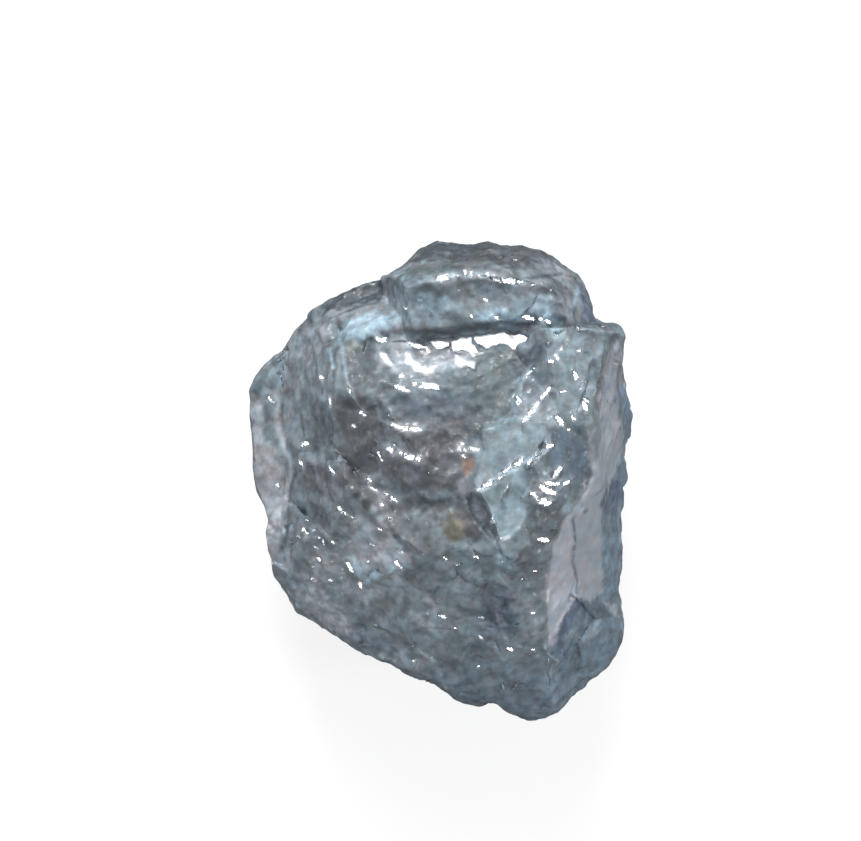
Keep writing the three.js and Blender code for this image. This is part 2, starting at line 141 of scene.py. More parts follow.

# %% [markdown]
# ## A map of the stone
#
# Every break, band, stain and glint has its place. They could be painted by hand on an image, but an
# image is hard to read and to mend. So the map below gives them in plan, in millimetres, as outlines,
# streaks and short strokes, whose points were read off. Relief and colour both use it: a dark hollow
# is also a lower one, and a pale plate is also a flat one. A later outline lies over an earlier one.
# The colour names and shares are not all judged by eye: for about two rows in three they were fitted by
# a helper script that compared renders with the photo, so they are a result and not a recipe.

# %% Outlines and streaks
AREAS = [  # name, softness, share, colour, outline
    ("cap, back", 0.036, 0.8, "black brown", [(-0.52, 2.54), (-0.18, 2.85), (0.36, 2.87), (0.55, 2.92),
        (1.19, 2.83), (1.61, 2.57), (1.60, 2.50), (1.19, 2.48), (0.71, 2.56), (0.12, 2.60), (-0.18, 2.61)]),
    ("cap, back left", 0.048, 0.9, "black teal", [(-0.26, 2.75), (-0.05, 2.85), (0.52, 2.89), (0.52, 2.68),
        (-0.17, 2.63)]),
    ("cap, pale back", 0.048, 0.5, "lilac pink", [(1.05, 2.62), (1.33, 2.61), (1.57, 2.50), (1.43, 2.48),
        (1.19, 2.51)]),
    ("cap, front left", 0.048, 0.35, "turquoise", [(-0.52, 2.46), (-0.24, 2.50), (0.05, 2.36), (0.07, 2.01),
        (0.00, 1.85), (-0.57, 1.87), (-0.67, 2.12)]),
    ("cap, front", 0.060, 0.8, "cloud grey", [(0.07, 2.36), (0.71, 2.32), (1.29, 2.30), (1.50, 2.15),
        (1.43, 1.89), (0.07, 1.88)]),
    ("cap, brown of the front", 0.048, 0.5, "turquoise", [(0.48, 2.30), (0.79, 2.30), (0.79, 2.08),
        (0.60, 2.05), (0.45, 2.15)]),
    ("cap, pale front 1", 0.036, 0.2, "cloud grey", [(0.10, 2.13), (0.50, 2.14), (0.54, 1.92), (0.26, 1.92),
        (0.07, 2.01)]),
    ("cap, pale front 2", 0.036, 0.65, "turquoise", [(0.83, 2.18), (1.05, 2.25), (1.31, 2.18), (1.33, 1.89),
        (1.01, 1.89), (0.86, 1.99)]),
    ("cap, right end", 0.048, 0.5, "warm lilac", [(1.33, 2.44), (1.60, 2.51), (1.79, 2.25), (1.81, 1.92),
        (1.50, 1.89), (1.43, 2.15)]),
    ("cap, right edge", 0.024, 0.8, "navy", [(1.62, 2.33), (1.74, 2.35), (1.83, 2.15), (1.83, 1.89),
        (1.67, 1.89), (1.71, 2.11)]),
    ("striped hole", 0.024, 0.35, "turquoise", [(1.25, 1.89), (1.36, 1.95), (1.48, 1.92), (1.46, 1.73),
        (1.33, 1.76)]),
    ("shoulder", 0.036, 0.2, "black teal", [(1.50, 1.90), (1.86, 1.95), (2.14, 1.85), (2.20, 1.68),
        (2.05, 1.54), (1.79, 1.63), (1.55, 1.75)]),
    ("shoulder, dark side", 0.036, 0.9, "slate", [(1.50, 1.79), (1.81, 1.67), (2.05, 1.61), (1.95, 1.37),
        (1.79, 1.54), (1.60, 1.65)]),
    ("top rim", 0.036, 1.0, "black teal", [(-1.45, 2.01), (-1.36, 2.18), (-1.05, 2.36), (-0.62, 2.46),
        (-0.50, 2.40), (-0.52, 2.17), (-0.83, 2.13), (-1.19, 2.05)]),
    ("growth bands, top", 0.036, 0.55, "warm lilac", [(-1.61, 1.82), (-1.40, 1.98), (-1.10, 2.06),
        (-0.67, 2.14), (-0.64, 2.06), (-1.05, 1.94), (-1.29, 1.85), (-1.45, 1.62), (-1.60, 1.49)]),
    ("growth bands, left", 0.048, 0.35, "pale lilac", [(-1.71, 1.74), (-1.52, 1.86), (-1.31, 1.82),
        (-1.45, 1.54), (-1.60, 1.30), (-1.69, 0.96), (-1.76, 0.61), (-1.81, 0.23), (-1.95, 0.49),
        (-1.98, 0.96), (-1.88, 1.32)]),
    ("growth bands, dark stripe", 0.036, 0.35, "dark moss", [(-1.50, 1.76), (-1.45, 1.73), (-1.62, 1.46),
        (-1.74, 1.18), (-1.80, 0.96), (-1.83, 1.06), (-1.76, 1.35), (-1.64, 1.56)]),
    ("left corner", 0.048, 0.35, "pale blue", [(-2.26, 1.14), (-2.05, 1.46), (-1.79, 1.54), (-1.83, 1.30),
        (-1.95, 1.06), (-2.12, 1.06)]),
    ("teal beside the bands", 0.048, 0.2, "pale lilac", [(-1.40, 1.62), (-1.21, 1.68), (-1.12, 1.30),
        (-1.24, 0.96), (-1.45, 0.96), (-1.57, 1.20)]),
    ("turquoise cloud", 0.036, 0.62, "turquoise", [(-1.15, 1.80), (-1.05, 1.93), (-0.88, 2.00),
        (-0.71, 2.02), (-0.62, 1.94), (-0.62, 1.80), (-0.81, 1.73), (-1.05, 1.67), (-1.17, 1.71)]),
    ("straw spot", 0.036, 0.7, "straw", [(-1.12, 1.63), (-0.99, 1.68), (-0.96, 1.56), (-1.08, 1.52)]),
    ("teal right of the cloud", 0.048, 0.35, "pale blue", [(-0.62, 2.08), (-0.45, 2.15), (-0.02, 2.04),
        (0.07, 1.89), (-0.45, 1.81), (-0.58, 1.89)]),
    # partly painted sheen: the pale lilac brightens the slope for part of its glare
    ("slope", 0.048, 0.6, "pale lilac", [(-0.76, 1.70), (-0.48, 1.75), (0.00, 1.71), (0.48, 1.79),
        (1.05, 1.80), (1.10, 1.64), (0.71, 1.56), (0.52, 1.49), (0.43, 1.32), (0.00, 1.23), (-0.36, 1.24),
        (-0.62, 1.30), (-0.76, 1.42)]),
    ("under the slope, pale", 0.060, 0.65, "dark moss", [(-0.67, 1.25), (0.00, 1.23), (0.43, 1.30),
        (0.48, 1.11), (0.00, 0.99), (-0.52, 0.99)]),
    ("dark right of the slope", 0.048, 0.8, "ink", [(0.86, 1.54), (1.24, 1.70), (1.33, 1.61), (1.17, 1.42),
        (1.00, 1.30), (0.83, 1.20), (0.64, 1.23)]),
    ("pale right corner", 0.048, 0.65, "plate blue", [(1.24, 1.80), (1.48, 1.77), (1.67, 1.63),
        (1.83, 1.46), (1.69, 1.35), (1.45, 1.32), (1.31, 1.56)]),
    ("teal of the right corner", 0.048, 0.2, "plate blue", [(1.31, 1.32), (1.79, 1.42), (1.95, 1.30),
        (1.90, 0.99), (1.81, 0.68), (1.43, 0.68), (1.33, 0.96)]),
    ("streaked slope", 0.048, 0.65, "night teal", [(1.00, 1.32), (1.29, 1.37), (1.29, 1.06), (1.07, 0.80),
        (0.86, 0.75), (0.88, 1.04)]),
    ("upper plate", 0.018, 0.5, "plate blue", [(0.50, 0.63), (0.71, 0.70), (0.88, 0.81), (1.02, 0.75),
        (1.26, 0.68), (1.33, 0.56), (1.29, 0.40), (1.13, 0.29), (0.95, 0.18), (0.77, 0.06), (0.60, -0.06),
        (0.44, -0.11), (0.39, -0.02), (0.46, 0.19), (0.52, 0.37), (0.48, 0.52)]),
    ("upper plate, clear middle", 0.036, 0.35, "plate blue", [(0.83, 0.61), (1.02, 0.68), (1.21, 0.61),
        (1.19, 0.42), (0.98, 0.30), (0.81, 0.42)]),
    ("lower plate", 0.014, 0.95, "plate blue", [(0.44, -0.11), (0.60, -0.05), (0.77, 0.07), (0.93, 0.18),
        (1.08, 0.23), (1.12, 0.06), (1.07, -0.06), (0.99, -0.18), (1.02, -0.35), (0.96, -0.52),
        (0.81, -0.65), (0.69, -0.69), (0.63, -0.49), (0.56, -0.32)]),
    ("shadow of the lower plate", 0.018, 0.8, "dark lilac", [(0.42, -0.12), (0.56, -0.32), (0.63, -0.49),
        (0.69, -0.70), (0.60, -0.65), (0.48, -0.51), (0.36, -0.32), (0.31, -0.20)]),
    ("navy beside the plates", 0.036, 0.85, "rim teal", [(1.32, 0.61), (1.48, 0.67), (1.71, 0.61),
        (1.77, 0.37), (1.79, 0.04), (1.64, -0.15), (1.50, 0.04), (1.29, 0.20), (1.33, 0.42)]),
    ("green under the star", 0.036, 0.6, "black teal", [(1.05, -0.27), (1.43, -0.23), (1.50, -0.37),
        (1.40, -0.61), (1.30, -0.82), (1.12, -0.80), (1.02, -0.58)]),
    ("teal right of the star", 0.036, 0.5, "turquoise", [(1.50, -0.18), (1.64, -0.23), (1.60, -0.35),
        (1.45, -0.39)]),
    ("brown edge", 0.036, 0.35, "brown black", [(0.89, -0.76), (1.05, -0.80), (1.26, -0.94), (1.26, -1.15),
        (1.07, -1.13), (0.93, -0.99)]),
    # partly painted reflection: the skin's dull lilac-grey is made paler for the sheen of the pale room and
    # floor on it
    ("skin, upper", 0.018, 1.0, "pale lilac", [(2.14, 1.71), (2.00, 1.54), (1.94, 1.32), (1.95, 1.14),
        (1.87, 1.01), (1.88, 0.82), (1.79, 0.61), (1.79, 0.31), (1.80, 0.06), (1.73, -0.11), (1.63, -0.23),
        (1.79, -0.37), (1.92, -0.29), (1.94, -0.13), (2.06, 0.06), (2.14, 0.25), (2.18, 0.49), (2.13, 0.79),
        (2.07, 1.02), (2.14, 1.26)]),
    ("skin, shaded edge", 0.036, 0.95, "slate", [(1.87, 0.96), (1.90, 0.82), (1.90, 0.31), (1.83, 0.23),
        (1.79, 0.49), (1.81, 0.75)]),
    ("skin, lower", 0.014, 1.0, "skin lilac and sheen", [(1.63, -0.23), (1.55, -0.37), (1.46, -0.46), (1.39, -0.67),
        (1.32, -0.85), (1.27, -1.06), (1.25, -1.30), (1.27, -1.77), (1.31, -1.96), (1.36, -1.95),
        (1.43, -1.68), (1.52, -1.55), (1.58, -1.42), (1.64, -1.38), (1.62, -1.18), (1.57, -0.94),
        (1.60, -0.70), (1.58, -0.42), (1.71, -0.32)]),
    ("skin, right", 0.018, 0.95, "pale lilac", [(1.58, -0.42), (1.79, -0.32), (1.92, -0.29), (1.92, -0.70),
        (1.94, -1.30), (1.79, -1.43), (1.64, -1.39), (1.62, -1.18), (1.57, -0.94), (1.60, -0.70)]),
    ("far right", 0.024, 0.75, "far blue", [(1.92, -0.26), (2.05, 0.01), (2.24, 0.01), (2.21, -1.46),
        (1.95, -1.44), (1.93, -0.82)]),
    ("right bulge", 0.024, 0.85, "far blue", [(2.13, 1.11), (2.19, 1.20), (2.33, 1.02), (2.33, 0.56),
        (2.23, 0.44), (2.18, 0.73)]),
    ("right edge above", 0.024, 0.8, "pale lilac", [(2.02, 1.54), (2.31, 1.62), (2.31, 1.23), (2.17, 1.13),
        (2.07, 1.06), (1.98, 1.25)]),
    ("right edge below", 0.024, 0.8, "far blue", [(2.15, 0.27), (2.31, 0.37), (2.29, -0.01),
        (2.05, -0.01)]),
    ("lobe", 0.036, 0.6, "rim blue", [(1.64, -1.39), (1.95, -1.42), (2.24, -1.46), (2.24, -2.04),
        (1.86, -2.27), (1.50, -2.37), (1.31, -2.13), (1.38, -1.89), (1.50, -1.58)]),
    ("band beside the lobe", 0.030, 0.95, "navy", [(1.63, -1.38), (1.76, -1.44), (1.60, -1.58),
        (1.50, -1.75), (1.45, -1.99), (1.31, -2.06), (1.38, -1.82), (1.50, -1.56)]),
    # painted shade: the roof of the lobe lies in the shadow of the skin's end
    ("shaded roof of the lobe", 0.030, 0.8, "ink", [(1.71, -1.42), (1.88, -1.42), (2.02, -1.54),
        (2.10, -1.63), (1.90, -1.56), (1.76, -1.49)]),
    ("pale middle of the lobe", 0.048, 0.5, "pale blue", [(1.58, -1.70), (1.69, -1.63), (1.81, -1.56),
        (1.93, -1.63), (1.90, -1.77), (1.79, -1.87), (1.64, -1.93), (1.55, -1.87)]),
    ("pale edge of the lobe", 0.024, 0.95, "pale lilac", [(1.94, -1.44), (2.12, -1.46), (2.12, -1.61),
        (2.00, -1.54)]),
    ("tip", 0.060, 0.5, "far blue", [(0.69, -2.54), (0.95, -2.39), (1.43, -2.27), (1.98, -2.20),
        (1.67, -2.51), (1.50, -2.70), (1.07, -2.89), (0.86, -2.85)]),
    ("lower edge", 0.071, 0.5, "rim blue", [(-1.86, -1.30), (-1.60, -1.56), (-1.07, -1.87), (-0.48, -2.18),
        (0.12, -2.54), (0.60, -2.68), (0.71, -2.58), (0.19, -2.37), (-0.43, -1.99), (-1.05, -1.68),
        (-1.52, -1.35), (-1.76, -1.13)]),
    ("lower face", 0.095, 0.2, "cloud grey", [(-0.71, -1.25), (0.12, -1.01), (0.95, -1.18), (1.19, -1.56),
        (1.19, -2.13), (0.71, -2.49), (0.14, -2.61), (-0.24, -2.13), (-0.67, -1.65)]),
    ("lower face, green grey", 0.071, 0.2, "lilac grey", [(-0.42, -1.12), (0.00, -0.94), (0.36, -0.96),
        (0.40, -1.32), (0.00, -1.49), (-0.36, -1.39)]),
    ("lower face, low blue", 0.060, 0.3, "rim blue", [(-0.12, -2.23), (0.36, -2.01), (1.07, -2.13),
        (1.29, -2.32), (0.95, -2.49), (0.48, -2.68), (0.14, -2.61)]),
    ("lower face, dark blue", 0.048, 0.35, "pale lilac", [(-0.93, -2.04), (-0.48, -1.95), (-0.19, -2.07),
        (-0.05, -2.39), (-0.43, -2.25), (-0.76, -2.15)]),
    ("lower face, blue edge", 0.060, 0.2, "lilac pink", [(-1.45, -1.49), (-1.07, -1.46), (-0.48, -1.61),
        (-0.43, -1.94), (-0.93, -2.01), (-1.26, -1.89)]),
    ("lower left, broken", 0.071, 0.2, "lilac pink", [(-1.83, -0.11), (-1.07, -0.08), (-1.05, -0.58),
        (-1.14, -1.30), (-1.31, -1.49), (-1.71, -1.49), (-1.95, -1.12), (-1.90, -0.80)]),
    ("lower left, navy corner", 0.060, 0.2, "lilac pink", [(-2.00, -0.94), (-1.86, -0.70), (-1.64, -0.77),
        (-1.67, -1.30), (-1.79, -1.37)]),
    ("cloudy face", 0.060, 0.2, "warm lilac", [(-1.07, -0.49), (-0.77, -0.32), (-0.48, -0.38),
        (-0.12, -0.30), (0.26, -0.39), (0.29, -0.70), (0.12, -0.89), (-0.12, -0.94), (-0.36, -1.04),
        (-0.65, -1.10), (-0.89, -1.23), (-1.05, -1.12), (-1.13, -0.94), (-1.05, -0.70)]),
    ("cloudy face, lilac cloud", 0.048, 0.2, "slate", [(-0.30, -0.40), (0.00, -0.39), (0.07, -0.61),
        (-0.18, -0.65)]),
    ("cloudy face, pale edge", 0.036, 0.95, "turquoise", [(-1.10, -0.92), (-0.90, -0.89), (-0.43, -0.89),
        (-0.33, -1.01), (-0.64, -1.10), (-0.88, -1.20), (-1.02, -1.13)]),
    ("middle, dark 1", 0.060, 0.5, "black brown", [(-1.48, 0.96), (-1.31, 0.75), (-1.27, 0.49),
        (-1.45, 0.40), (-1.61, 0.61)]),
    ("middle, dark 2", 0.071, 0.8, "black brown", [(-1.24, 0.99), (-0.71, 0.94), (-0.64, 0.49),
        (-0.69, 0.13), (-0.93, 0.01), (-1.14, 0.31), (-1.26, 0.61)]),
    ("middle, dark 3", 0.048, 0.8, "black brown", [(-0.60, -0.20), (0.00, -0.20), (0.36, -0.13),
        (0.38, -0.27), (-0.12, -0.33), (-0.55, -0.38)]),
    ("middle, dark 4", 0.071, 0.95, "brown black", [(-0.64, 0.99), (0.00, 1.01), (0.45, 0.96), (0.36, 0.49),
        (0.24, -0.11), (-0.48, -0.13), (-0.67, 0.13)]),
    ("middle, moss", 0.060, 0.65, "night teal", [(-0.76, 1.18), (0.00, 1.11), (0.36, 1.06), (0.45, 0.85),
        (0.00, 0.77), (-0.64, 0.77)]),
    ("middle, lilac veil", 0.048, 0.5, "cloud grey", [(-0.67, 0.63), (-0.24, 0.58), (-0.19, 0.44),
        (-0.62, 0.44)]),
    # painted shade, laid over the worn fold to cancel the light it catches
    ("painted shade on the fold of the middle", 0.060, 0.95, "black brown", [(-1.17, 0.30), (-0.95, 0.20), (-0.57, -0.11),
        (-0.45, -0.32), (-0.71, -0.39), (-0.93, -0.25), (-1.14, 0.01)]),
    ("slate left of the middle", 0.071, 0.5, "dark lilac", [(-1.79, 0.20), (-1.29, 0.23), (-1.05, -0.04),
        (-1.14, -0.23), (-1.79, -0.18)]),
    ("left lobe, upper", 0.036, 0.65, "pale lilac", [(-2.27, 0.96), (-2.12, 0.99), (-2.10, 0.49),
        (-2.17, 0.11), (-2.26, 0.49)]),
    ("left lobe, dark band", 0.030, 0.2, "black brown", [(-2.11, 1.15), (-1.95, 1.13), (-1.96, 0.79),
        (-1.96, 0.44), (-2.06, 0.46), (-2.12, 0.73)]),
    ("left lobe, lower", 0.024, 0.95, "warm lilac", [(-2.21, 0.46), (-2.00, 0.44), (-1.86, 0.23),
        (-1.81, -0.11), (-1.85, -0.29), (-1.86, -0.58), (-1.95, -0.94), (-2.05, -0.96), (-2.07, -0.46),
        (-2.21, 0.01)]),
    ("left lobe, pale foot", 0.036, 0.95, "pale lilac", [(-2.07, -0.27), (-1.86, -0.20), (-1.86, -0.56),
        (-1.98, -0.89), (-2.07, -0.70)]),
    # painted shade over the lit side of this fold, then painted light over its shaded side, to cancel the
    # fold's own light and shade
    ("painted shade on the fold of the cloudy face", 0.060, 0.65, "black brown", [(-0.74, -0.23), (-0.52, -0.27), (-0.33, -0.46),
        (-0.10, -0.73), (0.00, -0.89), (-0.19, -0.96), (-0.43, -0.77), (-0.62, -0.51)]),
    ("painted light on the left half of the cloudy face", 0.071, 0.95, "pale lilac", [(-1.05, -0.46), (-0.81, -0.32), (-0.64, -0.51),
        (-0.45, -0.77), (-0.36, -0.94), (-0.64, -1.06), (-0.93, -1.11), (-1.07, -0.85)]),
    ("dark right of the ochre", 0.048, 0.95, "black brown", [(0.19, -0.23), (0.36, -0.27), (0.45, -0.49),
        (0.50, -0.68), (0.33, -0.70), (0.19, -0.51)]),
    ("dark bar of the middle", 0.048, 0.95, "black brown", [(-0.50, 0.61), (-0.12, 0.61), (0.26, 0.58),
        (0.31, 0.30), (-0.12, 0.27), (-0.43, 0.42)]),
    ("dark left of the upper plate", 0.048, 0.95, "black teal", [(0.33, 0.94), (0.60, 0.92), (0.62, 0.75),
        (0.48, 0.61), (0.43, 0.49), (0.29, 0.54)]),
    ("pale foot of the cloudy face", 0.060, 0.8, "pale lilac", [(-1.19, -1.13), (-0.88, -1.23),
        (-0.48, -1.08), (-0.45, -1.30), (-0.71, -1.39), (-1.14, -1.46)]),
    ("dark top of the cap front, left", 0.048, 0.65, "black brown", [(-0.45, 2.40), (0.00, 2.38),
        (0.36, 2.35), (0.40, 2.18), (0.26, 2.11), (0.05, 2.18), (-0.43, 2.25)]),
    ("dark top of the cap front, right", 0.048, 0.65, "brown black", [(0.86, 2.32), (1.19, 2.32),
        (1.50, 2.37), (1.60, 2.20), (1.45, 2.15), (1.29, 2.20), (0.88, 2.18)]),
    # painted sparkle: this paleness stands in for many small glints
    ("pale patch of the lower left", 0.071, 0.65, "pale lilac", [(-1.60, -0.94), (-1.19, -0.70),
        (-1.07, -1.01), (-1.19, -1.30), (-1.52, -1.23)]),
    ("dark wedge beside the skin", 0.024, 0.9, "navy", [(1.90, -0.27), (1.98, -0.13), (2.07, 0.01),
        (2.15, 0.04), (2.12, -0.15), (2.05, -0.30), (1.95, -0.37)]),
    ("dark left of the plates", 0.083, 0.95, "dark moss", [(0.36, 1.56), (0.86, 1.54), (0.90, 1.30),
        (0.86, 1.01), (0.60, 0.82), (0.36, 0.85), (0.31, 1.20)]),
    ("below the turquoise cloud", 0.071, 0.8, "black teal", [(-1.13, 1.63), (-0.81, 1.68), (-0.74, 1.42),
        (-0.50, 1.15), (-0.71, 1.06), (-1.02, 1.15), (-1.17, 1.42)]),
    ("cap, foot of the front", 0.036, 0.95, "turquoise", [(0.40, 2.04), (0.95, 2.06), (1.26, 2.01),
        (1.31, 1.85), (0.95, 1.82), (0.40, 1.89)]),
    ("left foot of the cap", 0.048, 0.5, "lilac grey", [(-0.74, 2.46), (-0.52, 2.49), (-0.45, 2.27),
        (-0.43, 2.01), (-0.57, 2.01), (-0.67, 2.20)]),
    ("cap, above the ledge", 0.036, 0.95, "dark moss", [(-0.48, 2.54), (0.00, 2.58), (0.60, 2.56),
        (0.71, 2.45), (0.00, 2.45), (-0.43, 2.40)]),
    ("lower left, pale foot", 0.071, 0.95, "pale lilac", [(-1.79, -1.25), (-1.55, -1.23), (-1.19, -1.49),
        (-1.05, -1.77), (-1.31, -1.80), (-1.60, -1.56)]),
    ("spot below the plates", 0.060, 0.65, "turquoise", [(0.64, -0.80), (0.81, -0.77), (0.90, -0.92),
        (0.76, -1.04), (0.62, -0.94)]),
    ("lower left, dark top", 0.071, 0.6, "black teal", [(-1.79, -0.23), (-1.48, -0.30), (-1.31, -0.46),
        (-1.45, -0.65), (-1.71, -0.51)]),
    ("lower face, pale patch 1", 0.060, 0.5, "pale lilac", [(-0.43, -1.30), (-0.12, -1.35), (0.19, -1.51),
        (0.26, -1.73), (0.00, -1.77), (-0.31, -1.63)]),
    ("lower face, pale patch 2", 0.060, 0.3, "plate blue", [(0.55, -1.89), (0.79, -1.82), (0.95, -1.99),
        (0.86, -2.20), (0.62, -2.18)]),
    ("lower face, dark patch 1", 0.071, 0.5, "navy", [(0.43, -1.30), (0.76, -1.25), (0.95, -1.54),
        (0.90, -1.80), (0.64, -1.82), (0.48, -1.61)]),
    ("lower face, dark patch 2", 0.071, 0.2, "night teal", [(-1.13, -1.54), (-0.71, -1.56), (-0.48, -1.75),
        (-0.67, -1.89), (-1.05, -1.82)]),
    ("pale under the rust", 0.048, 0.65, "pale lilac", [(0.21, 0.01), (0.40, 0.04), (0.40, -0.13),
        (0.24, -0.15)]),
    ("rust", 0.030, 0.95, "rust", [(0.27, 0.29), (0.38, 0.30), (0.40, 0.13), (0.27, 0.04)]),
    ("ochre", 0.060, 0.9, "ochre", [(0.06, -0.39), (0.26, -0.39), (0.33, -0.58), (0.19, -0.71),
        (0.05, -0.63)]),
]
STREAKS = [  # name, half width, share, colour, points
    # painted shade: this dark streak is the shadow in the crease under the cap's ledge
    ("groove", 0.042, 0.85, "brown black", [(-0.68, 1.76), (-0.48, 1.79), (-0.12, 1.80), (0.07, 1.77),
        (0.48, 1.85), (0.71, 1.89), (0.95, 1.86), (1.10, 1.88), (1.26, 1.86)]),
    ("pale ledge of the cap", 0.024, 0.5, "warm lilac", [(-0.50, 2.48), (-0.38, 2.56), (-0.17, 2.56),
        (0.00, 2.54)]),
    ("dark lip of the cap", 0.021, 0.8, "black brown", [(0.14, 2.54), (0.48, 2.54), (0.71, 2.49),
        (0.95, 2.40), (1.29, 2.44), (1.43, 2.46)]),
    ("hollow of the cap", 0.021, 0.5, "black brown", [(0.14, 2.56), (0.21, 2.65), (0.31, 2.70),
        (0.37, 2.65), (0.36, 2.56)]),
    ("lilac streak of the cap", 0.026, 0.65, "turquoise", [(1.52, 1.94), (1.58, 2.11), (1.64, 2.30)]),
    ("level line of the shoulder 1", 0.014, 0.6, "black teal", [(1.62, 1.89), (1.83, 1.86), (2.10, 1.85)]),
    ("level line of the shoulder 2", 0.012, 0.5, "pale lilac", [(1.67, 1.82), (1.88, 1.79), (2.12, 1.77)]),
    ("level line of the shoulder 3", 0.014, 0.5, "black teal", [(1.74, 1.76), (1.93, 1.73), (2.12, 1.71)]),
    ("white growth line 1", 0.017, 0.5, "dark lilac", [(-1.19, 1.89), (-0.98, 2.01), (-0.79, 2.07),
        (-0.60, 2.08)]),
    ("white growth line 2", 0.014, 0.65, "black brown", [(-1.40, 1.89), (-1.19, 1.99), (-0.88, 2.10),
        (-0.67, 2.13)]),
    ("pale streak 1", 0.024, 0.5, "turquoise", [(-1.19, 1.70), (-1.15, 1.54), (-1.14, 1.39),
        (-1.11, 1.23)]),
    ("pale streak 2", 0.021, 0.95, "turquoise", [(-1.31, 1.56), (-1.27, 1.35)]),
    ("left ridge", 0.024, 0.95, "plain", [(-1.11, 1.20), (-1.05, 1.04), (-0.98, 0.92), (-0.90, 0.80)]),
    ("left ridge, shadow", 0.026, 0.95, "brown black", [(-1.05, 1.20), (-0.99, 1.04), (-0.90, 0.89),
        (-0.81, 0.77)]),
    ("pale inner edge of the left lobe", 0.031, 0.9, "pale lilac", [(-1.94, 1.01), (-1.94, 0.68),
        (-1.87, 0.44), (-1.79, 0.25), (-1.77, 0.11), (-1.83, -0.11), (-1.83, -0.30)]),
    ("dark inner edge of the left lobe", 0.019, 0.65, "brown black", [(-1.88, 0.96), (-1.88, 0.68),
        (-1.82, 0.49), (-1.74, 0.31), (-1.71, 0.11), (-1.79, -0.13), (-1.81, -0.58), (-1.88, -0.82)]),
    ("squiggle of the left lobe", 0.014, 0.7, "warm brown", [(-2.11, -0.46), (-2.02, -0.50), (-1.95, -0.46),
        (-1.92, -0.54), (-1.99, -0.63), (-2.02, -0.82)]),
    ("crack of the skin", 0.013, 0.85, "navy", [(1.57, -0.43), (1.60, -0.70), (1.57, -0.94), (1.63, -1.18),
        (1.62, -1.32)]),
    ("slit of the skin", 0.021, 0.7, "navy", [(2.13, 1.37), (2.11, 1.20), (2.12, 1.06)]),
    ("warm rim of the skin", 0.017, 0.7, "warm brown", [(1.94, 1.37), (1.87, 1.01), (1.79, 0.61),
        (1.80, 0.06), (1.63, -0.23), (1.46, -0.46), (1.32, -0.85), (1.25, -1.30), (1.27, -1.77)]),
    ("rim of the upper plate", 0.024, 0.95, "plate blue", [(1.07, 1.35), (0.95, 1.15), (0.90, 0.96),
        (0.83, 0.77), (0.67, 0.68)]),
    ("ridge of the plates", 0.021, 0.95, "turquoise", [(0.43, -0.11), (0.71, 0.05), (0.95, 0.23),
        (1.05, 0.25), (1.29, 0.42)]),
    ("dark line of the lower plate", 0.014, 0.5, "slate", [(0.81, 0.01), (0.90, -0.18), (0.86, -0.37),
        (0.76, -0.49)]),
    ("dark line of the upper plate", 0.014, 0.2, "dark lilac", [(0.71, 0.49), (0.86, 0.37), (0.93, 0.23)]),
    ("crease of the lower face", 0.019, 0.75, "pale lilac", [(-0.38, -1.85), (-0.29, -1.96), (-0.21, -2.04),
        (-0.10, -2.10), (0.00, -2.27), (0.07, -2.46)]),
    ("arc of the lower face 1", 0.013, 0.2, "lilac pink", [(-0.29, -1.63), (-0.12, -1.56), (0.07, -1.58),
        (0.19, -1.68)]),
    ("arc of the lower face 2", 0.013, 0.8, "ink", [(-0.24, -1.73), (-0.05, -1.73), (0.12, -1.75),
        (0.21, -1.77)]),
    ("pale line of the lower face", 0.017, 0.95, "pale lilac", [(-0.26, -1.30), (-0.14, -1.42),
        (-0.07, -1.51)]),
    ("foot of the skin 1", 0.013, 0.95, "pale lilac", [(1.24, -1.96), (1.31, -2.07), (1.40, -2.13)]),
    ("dark crossing of the middle", 0.024, 0.95, "black brown", [(-1.31, 0.49), (-1.13, 0.31),
        (-0.98, 0.15), (-0.83, 0.06)]),
]
print(len(AREAS), "outlines and", len(STREAKS), "streaks")

